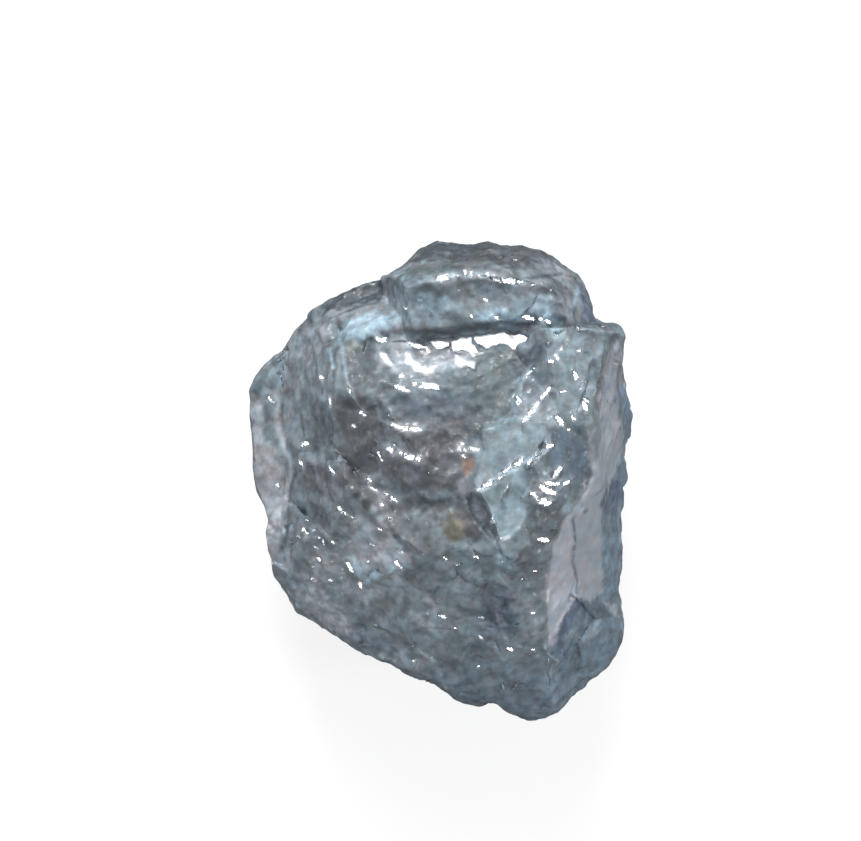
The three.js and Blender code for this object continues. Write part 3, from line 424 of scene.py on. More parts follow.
# %% Glinting facets
GLINTS = [  # both ends in plan, width
    (0.00, 2.42, 0.13, 2.40, 0.08), (0.30, 2.50, 0.30, 2.45, 0.04), (0.37, 2.49, 0.37, 2.44, 0.04),
    (0.46, 2.45, 0.48, 2.44, 0.04), (0.57, 2.45, 0.60, 2.42, 0.07), (0.63, 2.40, 0.75, 2.38, 0.07),
    (0.76, 2.38, 0.88, 2.37, 0.08), (0.92, 2.37, 0.98, 2.36, 0.04), (1.08, 2.33, 1.12, 2.33, 0.03),
    (0.46, 2.19, 0.56, 2.14, 0.04), (0.36, 1.96, 0.39, 1.95, 0.04), (1.00, 1.95, 1.12, 1.93, 0.06),
    (1.19, 1.93, 1.30, 1.89, 0.05), (0.62, 1.96, 0.69, 1.94, 0.05), (-0.52, 1.13, -0.38, 1.08, 0.06),
    (-0.31, 1.17, -0.24, 1.14, 0.06), (-0.23, 1.13, -0.04, 1.12, 0.07), (-0.57, 0.68, -0.48, 0.65, 0.05),
    (-0.45, 0.63, -0.38, 0.63, 0.06), (-0.35, 0.63, -0.24, 0.62, 0.05), (-0.61, 0.40, -0.54, 0.36, 0.07),
    (-0.50, 0.36, -0.42, 0.32, 0.07), (-0.39, 0.30, -0.25, 0.27, 0.08), (-0.73, 0.35, -0.69, 0.25, 0.04),
    (-1.08, 1.12, -1.06, 1.05, 0.04), (-0.95, 0.83, -0.89, 0.79, 0.05), (-1.31, 0.98, -1.30, 0.92, 0.04),
    (-1.43, 1.25, -1.39, 1.23, 0.05), (-1.32, 0.17, -1.25, 0.10, 0.04), (-2.05, 1.00, -2.00, 0.95, 0.05),
    (-1.94, -0.04, -1.92, -0.06, 0.05), (-1.71, 0.52, -1.64, 0.44, 0.08), (-1.64, 0.44, -1.57, 0.46, 0.06),
    (-1.70, 0.24, -1.64, 0.21, 0.05), (-0.86, 0.04, -0.83, 0.01, 0.05), (-0.82, -0.07, -0.76, -0.10, 0.03),
    (-0.65, -0.13, -0.62, -0.17, 0.05), (-0.58, -0.19, -0.51, -0.23, 0.05),
    (-0.71, -0.25, -0.68, -0.27, 0.05), (-1.20, -0.31, -1.15, -0.36, 0.05),
    (-1.12, -0.37, -1.08, -0.42, 0.04), (-1.63, -0.56, -1.57, -0.62, 0.05),
    (-1.46, -0.65, -1.43, -0.67, 0.04), (-1.39, -0.68, -1.38, -0.74, 0.04),
    (-1.31, -0.67, -1.26, -0.73, 0.04), (-1.29, -0.86, -1.23, -0.87, 0.05),
    (-1.45, -0.90, -1.43, -0.94, 0.04), (-1.10, -0.96, -1.05, -1.06, 0.06),
    (-0.95, -1.21, -0.93, -1.26, 0.05), (-1.52, -1.15, -1.49, -1.18, 0.04),
    (-0.73, -0.55, -0.70, -0.57, 0.04), (-0.52, -0.95, -0.45, -1.04, 0.05),
    (-0.02, -1.57, 0.07, -1.61, 0.05), (-0.20, -1.68, -0.11, -1.70, 0.04), (0.07, -1.64, 0.11, -1.67, 0.03),
    (0.17, -1.73, 0.19, -1.74, 0.03), (0.25, 0.46, 0.29, 0.45, 0.05), (0.23, 0.39, 0.24, 0.37, 0.04),
    (0.29, 0.39, 0.30, 0.37, 0.04), (0.27, 0.31, 0.29, 0.29, 0.05), (0.37, 0.39, 0.45, 0.39, 0.04),
    (0.36, -0.17, 0.38, -0.15, 0.04), (0.44, -0.10, 0.48, -0.07, 0.04), (0.52, -0.05, 0.65, 0.00, 0.06),
    (0.65, 0.00, 0.74, 0.08, 0.05), (0.75, 0.11, 0.82, 0.17, 0.05), (0.89, 0.19, 0.96, 0.26, 0.07),
    (1.04, 0.21, 1.14, 0.29, 0.07), (1.17, 0.31, 1.21, 0.36, 0.04), (1.27, 0.42, 1.32, 0.43, 0.06),
    (1.00, 0.73, 1.11, 0.85, 0.07), (1.12, 0.88, 1.20, 0.98, 0.06), (1.20, 0.98, 1.30, 1.11, 0.06),
    (0.92, 1.00, 0.94, 0.95, 0.06), (1.02, 1.25, 1.11, 1.35, 0.04), (1.29, 1.43, 1.32, 1.42, 0.06),
    (1.37, 1.50, 1.40, 1.45, 0.05), (1.58, 1.30, 1.64, 1.18, 0.06), (1.64, 1.18, 1.65, 1.11, 0.05),
    (1.70, 0.93, 1.73, 0.86, 0.06), (1.38, 0.77, 1.44, 0.69, 0.07), (1.56, 0.79, 1.58, 0.75, 0.05),
    (1.51, 0.63, 1.54, 0.61, 0.04), (1.33, 0.08, 1.45, 0.18, 0.07), (1.24, -0.01, 1.43, -0.04, 0.06),
    (1.46, -0.02, 1.60, 0.02, 0.05), (1.20, -0.06, 1.38, -0.17, 0.08), (1.20, -0.23, 1.29, -0.26, 0.10),
    (1.08, -0.14, 1.15, -0.18, 0.06), (1.18, -0.68, 1.32, -0.70, 0.07), (1.08, -1.54, 1.11, -1.55, 0.05),
    (0.81, -1.98, 0.85, -1.99, 0.05), (0.05, -0.90, 0.08, -0.92, 0.04), (-0.43, 2.06, -0.40, 2.05, 0.03),
    (1.63, 1.57, 1.65, 1.55, 0.04),
]
BRIGHT_SLOPE = [  # outlines of the glare on the slope
    [(-0.77, 1.71), (-0.69, 1.75), (-0.60, 1.73), (-0.58, 1.67), (-0.68, 1.63), (-0.76, 1.65)],
    [(-0.73, 1.54), (-0.64, 1.56), (-0.60, 1.48), (-0.51, 1.35), (-0.58, 1.35), (-0.70, 1.44)],
    [(-0.39, 1.69), (-0.29, 1.69), (-0.18, 1.62), (-0.07, 1.54), (-0.15, 1.51), (-0.27, 1.56),
        (-0.38, 1.62)],
    [(-0.19, 1.69), (-0.02, 1.69), (0.14, 1.68), (0.17, 1.57), (0.00, 1.56), (-0.11, 1.60)],
    [(-0.44, 1.54), (-0.37, 1.54), (-0.29, 1.43), (-0.18, 1.37), (-0.01, 1.40), (0.00, 1.35), (-0.15, 1.26),
        (-0.30, 1.29), (-0.42, 1.39)],
    [(0.10, 1.67), (0.29, 1.71), (0.42, 1.76), (0.50, 1.62), (0.55, 1.55), (0.38, 1.50), (0.24, 1.54),
        (0.13, 1.56)],
    [(0.14, 1.54), (0.26, 1.51), (0.43, 1.38), (0.42, 1.33), (0.20, 1.35), (0.14, 1.43)],
    [(0.37, 1.74), (0.52, 1.80), (0.70, 1.80), (0.88, 1.76), (1.05, 1.76), (1.05, 1.65), (0.88, 1.56),
        (0.80, 1.60), (0.69, 1.62), (0.52, 1.57), (0.43, 1.60)],
]
print(len(GLINTS), "glints and", len(BRIGHT_SLOPE), "patches of glare")

# %% [markdown]
# ## Where each kind of surface is
#
# The stone broke in different ways in different places: bowls on one side, steps on another, a calm skin
# on the right. A vertex group says where each kind of relief belongs. With the mouse it would be brushed
# on in Weight Paint mode. Here its weight is worked out from a corner's place and from the way the surface
# faces there, which gives the same result each time. The resting face is kept out of all groups, so that
# the stone still lies flat.

# %% Read the corners and make a vertex group
WEIGHT_STEPS = 250


def corners():
    """The place and the normal of every corner, as two arrays."""
    count = len(stone.data.vertices)
    places = np.empty(count * 3)
    normals = np.empty(count * 3)
    stone.data.vertices.foreach_get("co", places)
    stone.data.vertices.foreach_get("normal", normals)
    return places.reshape(-1, 3), normals.reshape(-1, 3)


def make_group(name, weights):
    """A vertex group with these weights, in steps, because one call adds many corners."""
    group = stone.vertex_groups.new(name=name)
    steps = np.round(np.clip(weights, 0, 1) * WEIGHT_STEPS).astype(int)
    order = np.argsort(steps, kind="stable")
    edges = np.searchsorted(steps[order], np.arange(1, WEIGHT_STEPS + 2))
    for step in range(1, WEIGHT_STEPS + 1):
        members = order[edges[step - 1]:edges[step]].tolist()
        if members:
            group.add(members, step / WEIGHT_STEPS, "REPLACE")


places, normals = corners()
print("the stone reaches from", places.min(axis=0).round(2), "to", places.max(axis=0).round(2))

# %% The place of each kind of break
OVAL_SOFTNESS = 0.35
KINDS = {  # centre and radii of an oval in plan, and its bearing in degrees
    "skin": ((1.72, -0.45), (1.9, 0.33), 97),
    "slope": ((0.15, 1.45), (0.95, 0.33), -3),
    "steps": ((-1.45, 1.2), (1.1, 0.6), 60),
    "plates": ((0.9, 0.25), (0.75, 0.5), 35),
    "left lobe": ((-2.05, 0.3), (1.2, 0.3), 92),
}


def smooth(low, high, value):
    """0 below low, 1 above high, with a soft rise between."""
    share = np.clip((value - low) / (high - low), 0, 1)
    return share * share * (3 - 2 * share)


def around(places, centre, radii, bearing):
    """1 inside an upright oval column, fading to 0 outside it. The bearing is in degrees."""
    turn = math.radians(bearing)
    east = places[:, 0] - centre[0]
    north = places[:, 1] - centre[1]
    along = (east * math.cos(turn) + north * math.sin(turn)) / radii[0]
    across = (north * math.cos(turn) - east * math.sin(turn)) / radii[1]
    return 1 - smooth(1 - OVAL_SOFTNESS, 1 + OVAL_SOFTNESS, np.hypot(along, across))


kind = {name: around(places, *oval) for name, oval in KINDS.items()}
kind["skin"] *= smooth(0.25, 0.5, normals[:, 0])
kind["calm"] = np.clip(kind["skin"] + kind["plates"] + kind["left lobe"], 0, 1)
print("share of the corners:", {name: round(float(share.mean()), 3) for name, share in kind.items()})

# %% Groups for the kinds of break
FLAT_FOOT = 0.03  # height up to which the resting face is left alone
FOOT_FADE = 0.2
SPARED = {"calm": 0.85, "slope": 0.75, "steps": 0.5}  # how much of the hackly relief each is spared

off_foot = smooth(FLAT_FOOT, FLAT_FOOT + FOOT_FADE, places[:, 2])
broken = off_foot.copy()
for name, share in SPARED.items():
    broken *= 1 - share * kind[name]
make_group("everywhere", off_foot)
make_group("broken", broken)
make_group("slope", off_foot * kind["slope"])
make_group("steps", off_foot * kind["steps"])
print([group.name for group in stone.vertex_groups])

# %% [markdown]
# ## Relief
#
# A broken diamond is hackly: small bowls with sharp rims, ripples like those in a shell, fine steps where
# it grew. These could be sculpted stroke by stroke, or left to bump in the material, but bump is flat at
# the outline. So each kind of break is a Displace modifier with a texture of its own, held to its vertex
# group. Bowls with sharp rims (Voronoi) make hackly breaks, rings round a far point make the ripples of a
# shell-like break, and soft clouds keep the calm faces from being dead flat.

# %% Hackly bowls, large and small
def texture_of(kind, name, **settings):
    """A texture that a Displace modifier can read."""
    texture = bpy.data.textures.new(name, kind)
    for key, value in settings.items():
        setattr(texture, key, value)
    return texture


def displace(name, group, depth, texture=None, source=None):
    """Moves the surface along its normals by up to depth, in millimetres, where the group says."""
    settings = {"strength": depth, "mid_level": 0.5 if texture else 0.0, "vertex_group": group}
    if texture:
        settings["texture"] = texture
    if source:
        settings["texture_coords"] = "OBJECT"
        settings["texture_coords_object"] = source
    add_modifier("DISPLACE", name, **settings)
    print(name, "up to", round(abs(depth), 3), "mm")


displace("large bowls", "broken", 0.06, texture_of("VORONOI", "large bowls", noise_scale=0.3))
displace("small bowls", "broken", 0.032, texture_of("VORONOI", "small bowls", noise_scale=0.13))

# %% Soft unevenness all over
soft_waves = texture_of("CLOUDS", "soft waves", noise_scale=0.5, noise_depth=2)
fine_waves = texture_of("CLOUDS", "fine waves", noise_scale=0.11, noise_depth=2)
displace("soft waves", "everywhere", 0.05, soft_waves)
displace("fine waves", "everywhere", 0.004, fine_waves)

# %% Ripples on the bright slope and growth lines on the left
RINGS_PER_UNIT = 20 / (2 * math.pi)  # Blender's ring pattern repeats this often in one unit


def rings_round(centre, spacing):
    """An empty that a ring pattern is centred on, scaled so that its rings are this far apart."""
    bpy.ops.object.select_all(action="DESELECT")
    bpy.ops.object.empty_add(location=centre)
    source = bpy.context.active_object
    source.scale = [spacing * RINGS_PER_UNIT] * 3
    bpy.context.view_layer.update()
    return source


RINGS = {  # group, depth, centre, spacing, profile, noise scale and turbulence
    "ripples": ("slope", 0.009, (-0.8, 5.2, 3.0), 0.17, "SAW", 1.2, 5),
    "growth lines": ("steps", 0.014, (-0.4, 0.6, 1.2), 0.13, "TRI", 2.0, 2),
}
for name, (group, depth, centre, spacing, profile, scale, turbulence) in RINGS.items():
    rings = texture_of(
        "WOOD", name, wood_type="RINGNOISE", noise_basis_2=profile, noise_scale=scale, turbulence=turbulence,
    )
    source = rings_round(centre, spacing)
    displace(name, group, depth, rings, source)
    bpy.data.objects.remove(source)

# %% [markdown]
# ## Ledges, ribs and cracks in their own places
#
# A few breaks are landmarks of this stone: the ridge between its two pale plates, the short ledges that
# glint in rows, the star of splinters and the hairline crack down the skin. Boolean cutters this thin
# would leave slivers in the mesh, so the corners near each line are moved instead. Each is a line drawn
# in plan. A rib rises evenly on both sides of its line, a crack sinks, and a ledge rises on its right
# side only and falls away slowly behind, as the edge of a thin broken layer does.

# %% The lines
RIBS = {  # height, width, points
    "ridge of the plates": (
        0.03, 0.045, [(0.45, -0.11), (0.71, 0.07), (0.95, 0.25), (1.07, 0.26), (1.33, 0.43)],
    ),
    "streak above the plates": (0.03, 0.04, [(1.33, 1.15), (1.19, 0.94), (1.04, 0.75)]),
    "rim of the upper plate": (0.025, 0.035, [(1.09, 1.35), (0.97, 1.12), (0.92, 0.96), (0.86, 0.74)]),
    "left ridge": (0.03, 0.04, [(-1.13, 1.44), (-1.11, 1.2), (-1.05, 1.02), (-0.92, 0.8)]),
    "short ridge, far right": (0.025, 0.035, [(1.56, 1.33), (1.6, 1.22), (1.68, 1.1)]),
    "short ridge, near right": (0.02, 0.03, [(1.72, 0.98), (1.66, 0.85)]),
    "splinter 1": (0.035, 0.035, [(1.14, -0.2), (1.32, 0.02), (1.45, 0.15)]),
    "splinter 2": (0.035, 0.03, [(1.2, -0.02), (1.45, 0.0), (1.62, 0.05)]),
    "splinter 3": (0.035, 0.03, [(1.18, -0.06), (1.3, -0.12), (1.42, -0.15)]),
    "splinter 4": (0.03, 0.03, [(1.22, -0.24), (1.34, -0.22)]),
}
LEDGES = {
    "ledge under the slope, left": (0.03, 0.05, [(-0.56, 1.15), (-0.46, 1.12), (-0.33, 1.08)]),
    "ledge under the slope, right": (0.03, 0.05, [(-0.33, 1.17), (-0.18, 1.15), (-0.02, 1.14)]),
    "middle ledge": (0.03, 0.05, [(-0.6, 0.7), (-0.42, 0.64), (-0.23, 0.62)]),
    "lower ledge": (0.035, 0.06, [(-0.63, 0.43), (-0.44, 0.36), (-0.24, 0.26)]),
    "row in the dark": (0.03, 0.04, [(-0.85, 0.04), (-0.77, -0.07), (-0.65, -0.13), (-0.5, -0.24)]),
}
CRACKS = {
    "hairline crack": (0.03, 0.02, [(1.57, -0.43), (1.6, -0.7), (1.57, -0.94), (1.63, -1.18), (1.55, -1.42)]),
    "left crack": (0.02, 0.02, [(-1.99, -0.37), (-2.05, -0.49), (-1.99, -0.58)]),
}
LEDGE_TAIL = 0.16
BULGES = [  # centre in plan, reach and outward push of places where the outline swells
    ((2.17, -1.95), 0.38, 0.2),
    ((2.25, 0.75), 0.3, 0.02),
    ((-2.2, 1.3), 0.4, 0.07),
]
print(len(RIBS), "ribs,", len(LEDGES), "ledges,", len(CRACKS), "cracks and", len(BULGES), "bulges")

# %% How far each corner rises
def to_segment(points, start, end):
    """The way from a segment's nearest point to each point, from its start to each point, and its run."""
    run = np.array(end) - np.array(start)
    offset = points - np.array(start)
    share = np.clip((offset @ run) / (run @ run), 0, 1)
    return offset - share[:, None] * run, offset, run


def from_line(places, line):
    """Distance in plan from a line of points, negative on its right."""
    best = np.full(len(places), np.inf)
    signed = np.full(len(places), np.inf)
    for start, end in zip(line[:-1], line[1:]):
        gap, offset, run = to_segment(places[:, :2], start, end)
        distance = np.hypot(gap[:, 0], gap[:, 1])
        side = np.sign(run[0] * offset[:, 1] - run[1] * offset[:, 0])
        signed = np.where(distance < best, side * distance, signed)
        best = np.minimum(distance, best)
    return signed


def rib_height(line, width):
    """1 on the line, falling off evenly on both sides."""
    return np.exp(-(from_line(places, line) / width) ** 2)


def ledge_height(line, width):
    """A steep front along the line, and a long tail behind it."""
    signed = from_line(places, line)
    front = smooth(-width / 2, width / 2, -signed)
    return front * np.exp(-np.maximum(-signed, 0) / LEDGE_TAIL) * (np.abs(signed) < 4 * LEDGE_TAIL)


places, normals = corners()
up_facing = smooth(0.05, 0.2, normals[:, 2])
outward = np.hypot(normals[:, 0], normals[:, 1])
raised = np.zeros(len(places))
for height, width, line in RIBS.values():
    raised = np.maximum(raised, height * up_facing * rib_height(line, width))
for height, width, line in LEDGES.values():
    raised = np.maximum(raised, height * up_facing * ledge_height(line, width))
for centre, reach, push in BULGES:
    distance = np.hypot(*(places[:, :2] - centre).T)
    raised = np.maximum(raised, push * outward * np.exp(-(distance / reach) ** 2))
print((raised > 0.01).sum(), "corners rise by more than a hundredth of a millimetre")

# %% How far each corner sinks
LOWERED = {  # outlines that lie lower or, where it is negative, higher than the surface around them
    "shadow of the lower plate": 0.07, "striped hole": 0.08, "middle, dark 1": 0.05, "middle, dark 2": 0.05,
    "middle, dark 3": 0.04, "cap, brown of the front": 0.04, "navy beside the plates": 0.05,
    "green under the star": 0.03, "lower face, dark blue": 0.03, "lower face, green grey": -0.03,
    "cloudy face, pale edge": -0.03, "turquoise cloud": -0.02, "growth bands, dark stripe": 0.03,
    "left lobe, dark band": 0.03, "cap, pale front 1": -0.03, "cap, pale front 2": -0.02, "rust": 0.03,
}


def signed_gap(points, outline):
    """Distance in plan to a closed outline, negative inside it."""
    best = np.full(len(points), np.inf)
    crossings = np.zeros(len(points), dtype=int)
    for start, end in zip(outline, outline[1:] + outline[:1]):
        gap, _, run = to_segment(points, start, end)
        best = np.minimum(best, np.hypot(gap[:, 0], gap[:, 1]))
        spans = (points[:, 1] >= start[1]) != (points[:, 1] >= end[1])
        reach = start[0] + (points[:, 1] - start[1]) * run[0] / (run[1] if run[1] else 1)
        crossings += spans & (points[:, 0] < reach)
    return np.where(crossings % 2, -best, best)


sunk = np.zeros(len(places))
for depth, width, line in CRACKS.values():
    sunk = np.maximum(sunk, depth * up_facing * rib_height(line, width))
for name, softness, _, _, outline in AREAS:
    if name in LOWERED:
        cover = smooth(2 * softness, -2 * softness, signed_gap(places[:, :2], outline))
        depth = LOWERED[name] * up_facing * cover
        sunk = np.maximum(sunk, depth)
        raised = np.maximum(raised, -depth)
print((sunk > 0.01).sum(), "corners sink by more than a hundredth of a millimetre")

# %% Raise, sink and wear them
WORN = [  # half width and points of arrises that the stone does not show
    (0.17, [(-1.12, 0.3), (-0.9, 0.05), (-0.5, -0.4), (-0.24, -0.76)]),
    (0.07, [(1.83, 1.88), (1.93, 1.88)]),
    (0.1, [(1.58, -0.25), (1.9, -0.33)]),
    (0.08, [(-1.7, -0.3), (-1.43, -0.49)]),
]
WEAR = 200

make_group("raised", raised / raised.max())
make_group("sunk", sunk / sunk.max())
displace("ribs, ledges and bulges", "raised", raised.max())
displace("cracks and hollows", "sunk", -sunk.max())
make_group("worn", up_facing * np.max([rib_height(line, width) for width, line in WORN], axis=0))
add_modifier("SMOOTH", "worn arrises", factor=0.5, iterations=WEAR, vertex_group="worn")
print(len(WORN), "arrises worn away")

# %% [markdown]
# ## Facets that glint
#
# A break in diamond ends in many small, flat, mirror-bright facets, and the eye sees those that turn a
# lamp's light its way as white sparks. They could be painted white, but would then stay white from every
# side. So each one is a small oval place that is laid flat, square to the line halfway between a lamp and
# the eye above, and it goes dark as soon as the stone is turned. Of the three lamps it takes the one that
# asks for the smallest turn, so the facets stay shallow.

# %% Tiny facets scattered over the broken places
SCATTERED = [  # centre and radii of a place where tiny facets lie about, and how many
    ((-1.36, -0.75), (0.34, 0.42), 22),
    ((0.5, 2.2), (0.85, 0.25), 16),
    ((1.5, 1.35), (0.27, 0.6), 12),
    ((0.4, -1.55), (0.95, 0.75), 20),
    ((-0.6, -0.7), (0.6, 0.4), 8),
    ((-0.45, 0.7), (0.8, 0.6), 8),
]
LENGTHS = (0.01, 0.06)
WIDTHS = (0.02, 0.045)
TURNS = (-0.9, 0.5)
LEAN_OFF = 0.1  # how far, at most, a scattered facet turns away from its lamp, as a slope
SEED = 7

random = np.random.default_rng(SEED)
facets = [(stroke, (0, 0)) for stroke in GLINTS]
for (middle_east, middle_north), (reach_east, reach_north), count in SCATTERED:
    easts = middle_east + reach_east * random.uniform(-1, 1, count)
    norths = middle_north + reach_north * random.uniform(-1, 1, count)
    lengths, widths, turns = (random.uniform(*limits, count) for limits in (LENGTHS, WIDTHS, TURNS))
    for east, north, length, width, turn in zip(easts, norths, lengths, widths, turns):
        stroke = (east, north, east + length * math.cos(turn), north + length * math.sin(turn), width)
        facets.append((stroke, random.uniform(-LEAN_OFF, LEAN_OFF, 2)))
print(len(facets), "facets to lay")

# %% Ways to the lamps
WINDOW = (95, 58)  # bearing and tilt of the broad, main light, in degrees
LAMPS = {"key": (95, 34), "left lamp": (190, 62), "right lamp": (-15, 62)}  # bearing and tilt in degrees
UP = Vector((0, 0, 1))


def way_to(bearing, tilt):
    """The way to a lamp. bearing is in plan from +X, tilt is from straight up, both in degrees."""
    turn = math.radians(bearing)
    lean = math.radians(tilt)
    return Vector((math.sin(lean) * math.cos(turn), math.sin(lean) * math.sin(turn), math.cos(lean)))


window_halfway = (way_to(*WINDOW) + UP).normalized()
halfway = {name: (way_to(*lamp) + UP).normalized() for name, lamp in LAMPS.items()}
leans = {name: round(math.degrees(way.angle(UP))) for name, way in halfway.items()}
print("a facet that glints leans by, in degrees:", leans)

# %% Lay the pale plates and the bright slope flat
FLAT_PLATES = {"upper plate": (5, 121), "lower plate": (7, -59)}  # their tilt and its bearing in degrees
PLATE_FLATNESS = 0.85  # 1 would take all relief off the plates
SHADED_NORTH = 1.6  # patches of the slope beyond this lie in the cap's shade
ANY_MOVE = 10.0  # further than any corner lies from its plane
places, normals = corners()
on_top = normals[:, 2] > 0.1


def lay(share, way, limit=ANY_MOVE):
    """Lays corners flat and square to a way, as far as their share says, unless that moves them far."""
    middle = places[share > 0.5].mean(axis=0)
    offset = places[:, :2] - middle[:2]
    plane = middle[2] - (way[0] * offset[:, 0] + way[1] * offset[:, 1]) / way[2]
    move = plane - places[:, 2]
    share = share * (1 - smooth(limit, 2 * limit, np.abs(move)))
    places[:, 2] += share * move
    return share


def waves_at(places):
    """Two slow waves, with which an outline wanders a little off its drawn line."""
    return np.stack([
        np.sin(places @ (23, 17, 29) + 1.3) + 0.7 * np.sin(places @ (-37, 51, 43) + 0.4),
        np.sin(places @ (19, -27, 31) + 2.1) + 0.7 * np.sin(places @ (47, 33, -39) + 5.2),
    ], axis=1)


def is_shaded(outline):
    """Whether the cap keeps the window's light off an outline of the slope, so that the key lights it."""
    return sum(north for _, north in outline) / len(outline) > SHADED_NORTH


for name, _, _, _, outline in AREAS:
    if name in FLAT_PLATES:
        cover = smooth(0.03, -0.03, signed_gap(places[:, :2], outline))
        lay(PLATE_FLATNESS * on_top * cover, way_to(*reversed(FLAT_PLATES[name])))
for outline in BRIGHT_SLOPE:
    cover = smooth(0.025, -0.025, signed_gap(places[:, :2] + 0.015 * waves_at(places), outline))
    lay(on_top * cover, halfway["key"] if is_shaded(outline) else window_halfway)
print(len(FLAT_PLATES), "plates and", len(BRIGHT_SLOPE), "patches of the slope laid")

# %% Lay the facets flat
FACET_FLAT = 0.35  # share of a facet's width, from its line, that is quite flat
FACET_EDGE = 0.7  # share at which it has run out into the break around it
EDGE_WANDER = 0.2
FACET_DEPTH = 0.15  # how far below its highest corner a facet reaches
MOST_MOVED = 0.06  # a corner that lies further from the facet's plane is let go
wander = np.sin(places[:, :2] @ (61, 83)) * np.sin(places[:, :2] @ (97, -53) + 1)
laid = 0
flat = np.zeros(len(places))
for (east_0, north_0, east_1, north_1, width), lean_off in facets:
    gap = np.abs(from_line(places, [(east_0, north_0), (east_1 + 0.001, north_1)]))
    gap = gap + EDGE_WANDER * width * wander
    share = (1 - smooth(FACET_FLAT * width, FACET_EDGE * width, gap)) * on_top
    if (share > 0.5).any():
        share = share * (places[:, 2] > places[share > 0.5, 2].max() - FACET_DEPTH)
        lean = Vector(normals[share > 0.5].mean(axis=0))
        way = max(halfway.values(), key=lean.dot)
        share = lay(share, (way + Vector((*lean_off, 0))).normalized(), MOST_MOVED)
        flat = np.maximum(flat, share)
        laid += 1
stone.data.vertices.foreach_set("co", places.ravel())
stone.data.update()
make_group("facets", flat)
print(laid, "facets laid flat out of", len(facets))

# %% [markdown]
# ## A mesh that is not too heavy
#
# Three rounds of subdivision give far more triangles than the eye needs, most of all on the plain
# underside. Remeshing would lose the crisp arrises, so triangles are merged where they matter least:
# first by a lot on the low parts, in edit mode, and then by a little everywhere, with a Decimate modifier
# that keeps what turns most.

# %% Thin the mesh, below the rim more than above it
TRIANGLES = 196000
RIM_HEIGHT = 1.1
LOW_SHARE = 0.12  # share of the triangles that is kept on the low parts
places, normals = corners()
make_group("below", (places[:, 2] < RIM_HEIGHT) | (normals[:, 2] < -0.15))
select_only(stone)
bpy.ops.object.mode_set(mode="EDIT")
bpy.ops.mesh.select_mode(type="VERT")
bpy.ops.mesh.select_all(action="SELECT")
bpy.ops.mesh.quads_convert_to_tris()
bpy.ops.mesh.select_all(action="DESELECT")
stone.vertex_groups.active_index = stone.vertex_groups["below"].index
bpy.ops.object.vertex_group_select()
bpy.ops.mesh.decimate(ratio=LOW_SHARE)
bpy.ops.mesh.select_all(action="DESELECT")
bpy.ops.object.mode_set(mode="OBJECT")
print(len(stone.data.polygons), "triangles before the rest is thinned")
add_modifier("DECIMATE", "thin", ratio=min(1, TRIANGLES / len(stone.data.polygons)))
print(len(stone.data.polygons), "triangles in the finished stone")

# %% [markdown]
# ## Clouds, plates, bands, stains, and painted light and shade
#
# The colour of this stone changes from place to place: pale blue plates, lilac growth bands, a turquoise
# cloud, dark teal rims, a spot of rust. Some washes paint light and shade as well: painted shade in the
# groove under the cap and on the roof of the lobe, painted shade and light over two folds against the
# light they catch, a paler slope for part of its glare, a lighter skin for part of its sheen, a pale
# patch for the sparkle of the lower left, and a pale glow painted round each glint. Masks in the
# material could tell them apart, but a hundred masks make a very large node tree. So each is an outline
# or a streak in plan with one colour out of a small palette. They are laid over each other like washes
# of paint, and the result is kept on the mesh as a colour attribute, so that the pattern follows the
# surface. Faces that look down keep the plain colour.

# %% Palette
PALETTE = {
    "plain": (0.19, 0.24, 0.265),
    "ink": (0.05, 0.085, 0.12),
    "black brown": (0.026, 0.03, 0.04),
    "black teal": (0.025, 0.045, 0.06),
    "night teal": (0.11, 0.16, 0.205),
    "rim teal": (0.06, 0.115, 0.175),
    "rim blue": (0.13, 0.205, 0.28),
    "far blue": (0.2, 0.29, 0.38),
    "deep teal": (0.19, 0.255, 0.305),
    "slate": (0.24, 0.29, 0.32),
    "navy": (0.075, 0.11, 0.19),
    "dark lilac": (0.15, 0.155, 0.175),
    "brown black": (0.07, 0.075, 0.09),
    "warm brown": (0.25, 0.2, 0.19),
    "warm lilac": (0.33, 0.325, 0.345),
    "lilac grey": (0.4, 0.43, 0.48),
    "lilac pink": (0.43, 0.44, 0.5),
    "pale lilac": (0.5, 0.53, 0.57),
    "cloud grey": (0.34, 0.39, 0.42),
    "moss grey": (0.2, 0.25, 0.25),
    "dark moss": (0.09, 0.13, 0.14),
    "plate blue": (0.3, 0.4, 0.44),
    "pale blue": (0.4, 0.5, 0.56),
    # the skin's own lilac, made paler in part as a painted reflection
    "skin lilac and sheen": (0.62, 0.63, 0.68),
    "turquoise": (0.56, 0.76, 0.88),
    "straw": (0.6, 0.68, 0.52),
    "rust": (0.3, 0.13, 0.07),
    "ochre": (0.16, 0.125, 0.065),
}
print(len(PALETTE), "colours in the palette")

# %% Lay the washes over each other
STEEP_BLUR = 0.1  # how much softer, in millimetres, an outline gets on a face that stands upright
# a pale halo painted round each glint, as a painted glow of its light
GLOW_PAINT_SHARE = 0.4
GLOW_PAINT_WIDTH = 0.02
places, normals = corners()
plan = places[:, :2]
waves = waves_at(places)
upward = smooth(-0.25, 0.0, normals[:, 2])
steepness = STEEP_BLUR * (1 - smooth(0.0, 0.45, normals[:, 2]))
body = np.tile(PALETTE["plain"], (len(places), 1))


def wash(body, colour, cover):
    """The body's colours under one more colour. Faces that look down stay as they are."""
    return body + (upward * cover)[:, None] * (np.array(PALETTE[colour]) - body)


for name, softness, share, colour, outline in AREAS:
    edge = softness + steepness
    gap = signed_gap(plan + 0.5 * edge[:, None] * waves, outline)
    body = wash(body, colour, share * smooth(0, 1, 0.5 - 0.5 * gap / edge))
for name, half_width, share, colour, points in STREAKS:
    body = wash(body, colour, share * np.exp(-(from_line(places, points) / half_width) ** 2))
